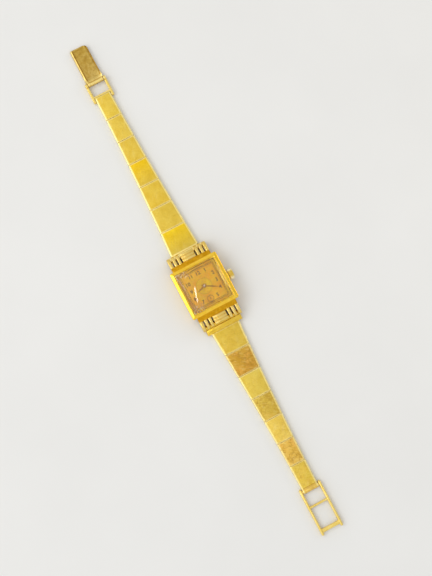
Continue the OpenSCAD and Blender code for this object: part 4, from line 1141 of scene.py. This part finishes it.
finishes = {
    plainSteel: ["spring_bars", "winding_stem", "flap_pin", "escape_wheel", "pallet_fork", "hairspring",
                 "cannon_pinion"] + [f"upper_pin_{i}" for i in range(1, 8)] + [f"lower_pin_{i}" for i in range(1, 7)],
    screwBlue: ["bridge_screws"],
    trainBrass: ["mainplate", "train_bridge", "balance_cock", "barrel", "center_wheel", "third_wheel",
                 "fourth_wheel", "balance_wheel", "minute_wheel", "hour_wheel"],
}
for material, nodes in finishes.items():
    for node in nodes:
        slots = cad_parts[node].data.materials
        slots.clear()
        slots.append(material)
print("finishes set")


# floor, light and camera

def makeFloor():
    bm = bmesh.new()
    bmesh.ops.create_grid(bm, x_segments=1, y_segments=1, size=3.0)
    mesh = meshFrom(bm, "floor")
    material, shader, inMm = startMaterial("paleFloor")
    feedAll(shader, {"Base Color": mixed(noiseAt(inMm, 0.02), rgb(222, 222, 220), rgb(230, 230, 228)),
                     "Roughness": 0.8, "Specular IOR Level": 0.2})
    mesh.materials.append(material)
    mesh.transform(Matrix.Translation((0, 0, -0.00005)))
    addObject("floor", mesh)


def makeWorld():  # a pale room, brighter on the left
    world = bpy.data.worlds.new("studio")
    bpy.context.scene.world = world
    world.use_nodes = True
    tree = world.node_tree
    tree.nodes.clear()
    x, y, z = splitXyz(tree.nodes.new("ShaderNodeTexCoord").outputs["Generated"])
    level = plus(0.62, times(spanned(x, -0.9, 0.9, 1.0, 0.0), 0.5))
    color = addNode(tree, "ShaderNodeCombineColor", {0: level, 1: level, 2: level}).outputs[0]
    back = addNode(tree, "ShaderNodeBackground", {"Color": color, "Strength": 1.0})
    addNode(tree, "ShaderNodeOutputWorld", {0: back.outputs[0]})


# place, direction of the long side, size, power and tint
softboxes = {
    "keyBox": ((-0.46, 0.24, 0.6), (0.3, 0.95, 0.0), (0.42, 0.5), 1.4, (1.0, 0.98, 0.94)),
    "stripBox": ((-0.086, -0.012, 0.55), (0.29, 0.96, 0.0), (0.011, 0.16), 0.055, (1.0, 1.0, 1.0)),
    "sideBox": ((0.49, 0.03, 0.25), (0.0, 1.0, 0.0), (0.06, 0.3), 0.14, (1.0, 0.94, 0.82)),
    "warmCard": ((0.513, 0.032, 0.195), (0.0, 1.0, 0.0), (0.04, 0.1), 0.09, (1.0, 0.7, 0.25)),
}
cameraFit = {"place": (-23.3227, -23.0610, 399.2338), "turn": (0.0774, -0.0351, -0.4870), "focal": 1159.4,
             "imageHeight": 576, "sensor": 36.0}


def addSoftbox(name, place, along, size, power, tint):
    lamp = bpy.data.lights.new(name, "AREA")
    lamp.shape = "RECTANGLE"
    lamp.size, lamp.size_y = size
    lamp.energy, lamp.color = power, tint
    back = Vector(place).normalized()  # every box looks at the middle of the dial
    across = Vector(along).cross(back).normalized()
    turn = Matrix((across, back.cross(across), back)).transposed()
    addObject(name, lamp).matrix_world = Matrix.Translation(place) @ turn.to_4x4()


def addCamera():
    camera = addObject("photoCamera", bpy.data.cameras.new("photoCamera"))
    camera.location = Vector(cameraFit["place"]) * 0.001
    camera.rotation_euler = cameraFit["turn"]
    camera.data.sensor_width = cameraFit["sensor"]
    camera.data.lens = cameraFit["focal"] / cameraFit["imageHeight"] * cameraFit["sensor"]
    camera.data.clip_start, camera.data.clip_end = 0.01, 20.0
    bpy.context.scene.camera = camera


makeFloor()
makeWorld()
for name, box in softboxes.items():
    addSoftbox(name, *box)
addCamera()
bpy.context.scene.view_settings.view_transform = "Standard"
print("stage set")
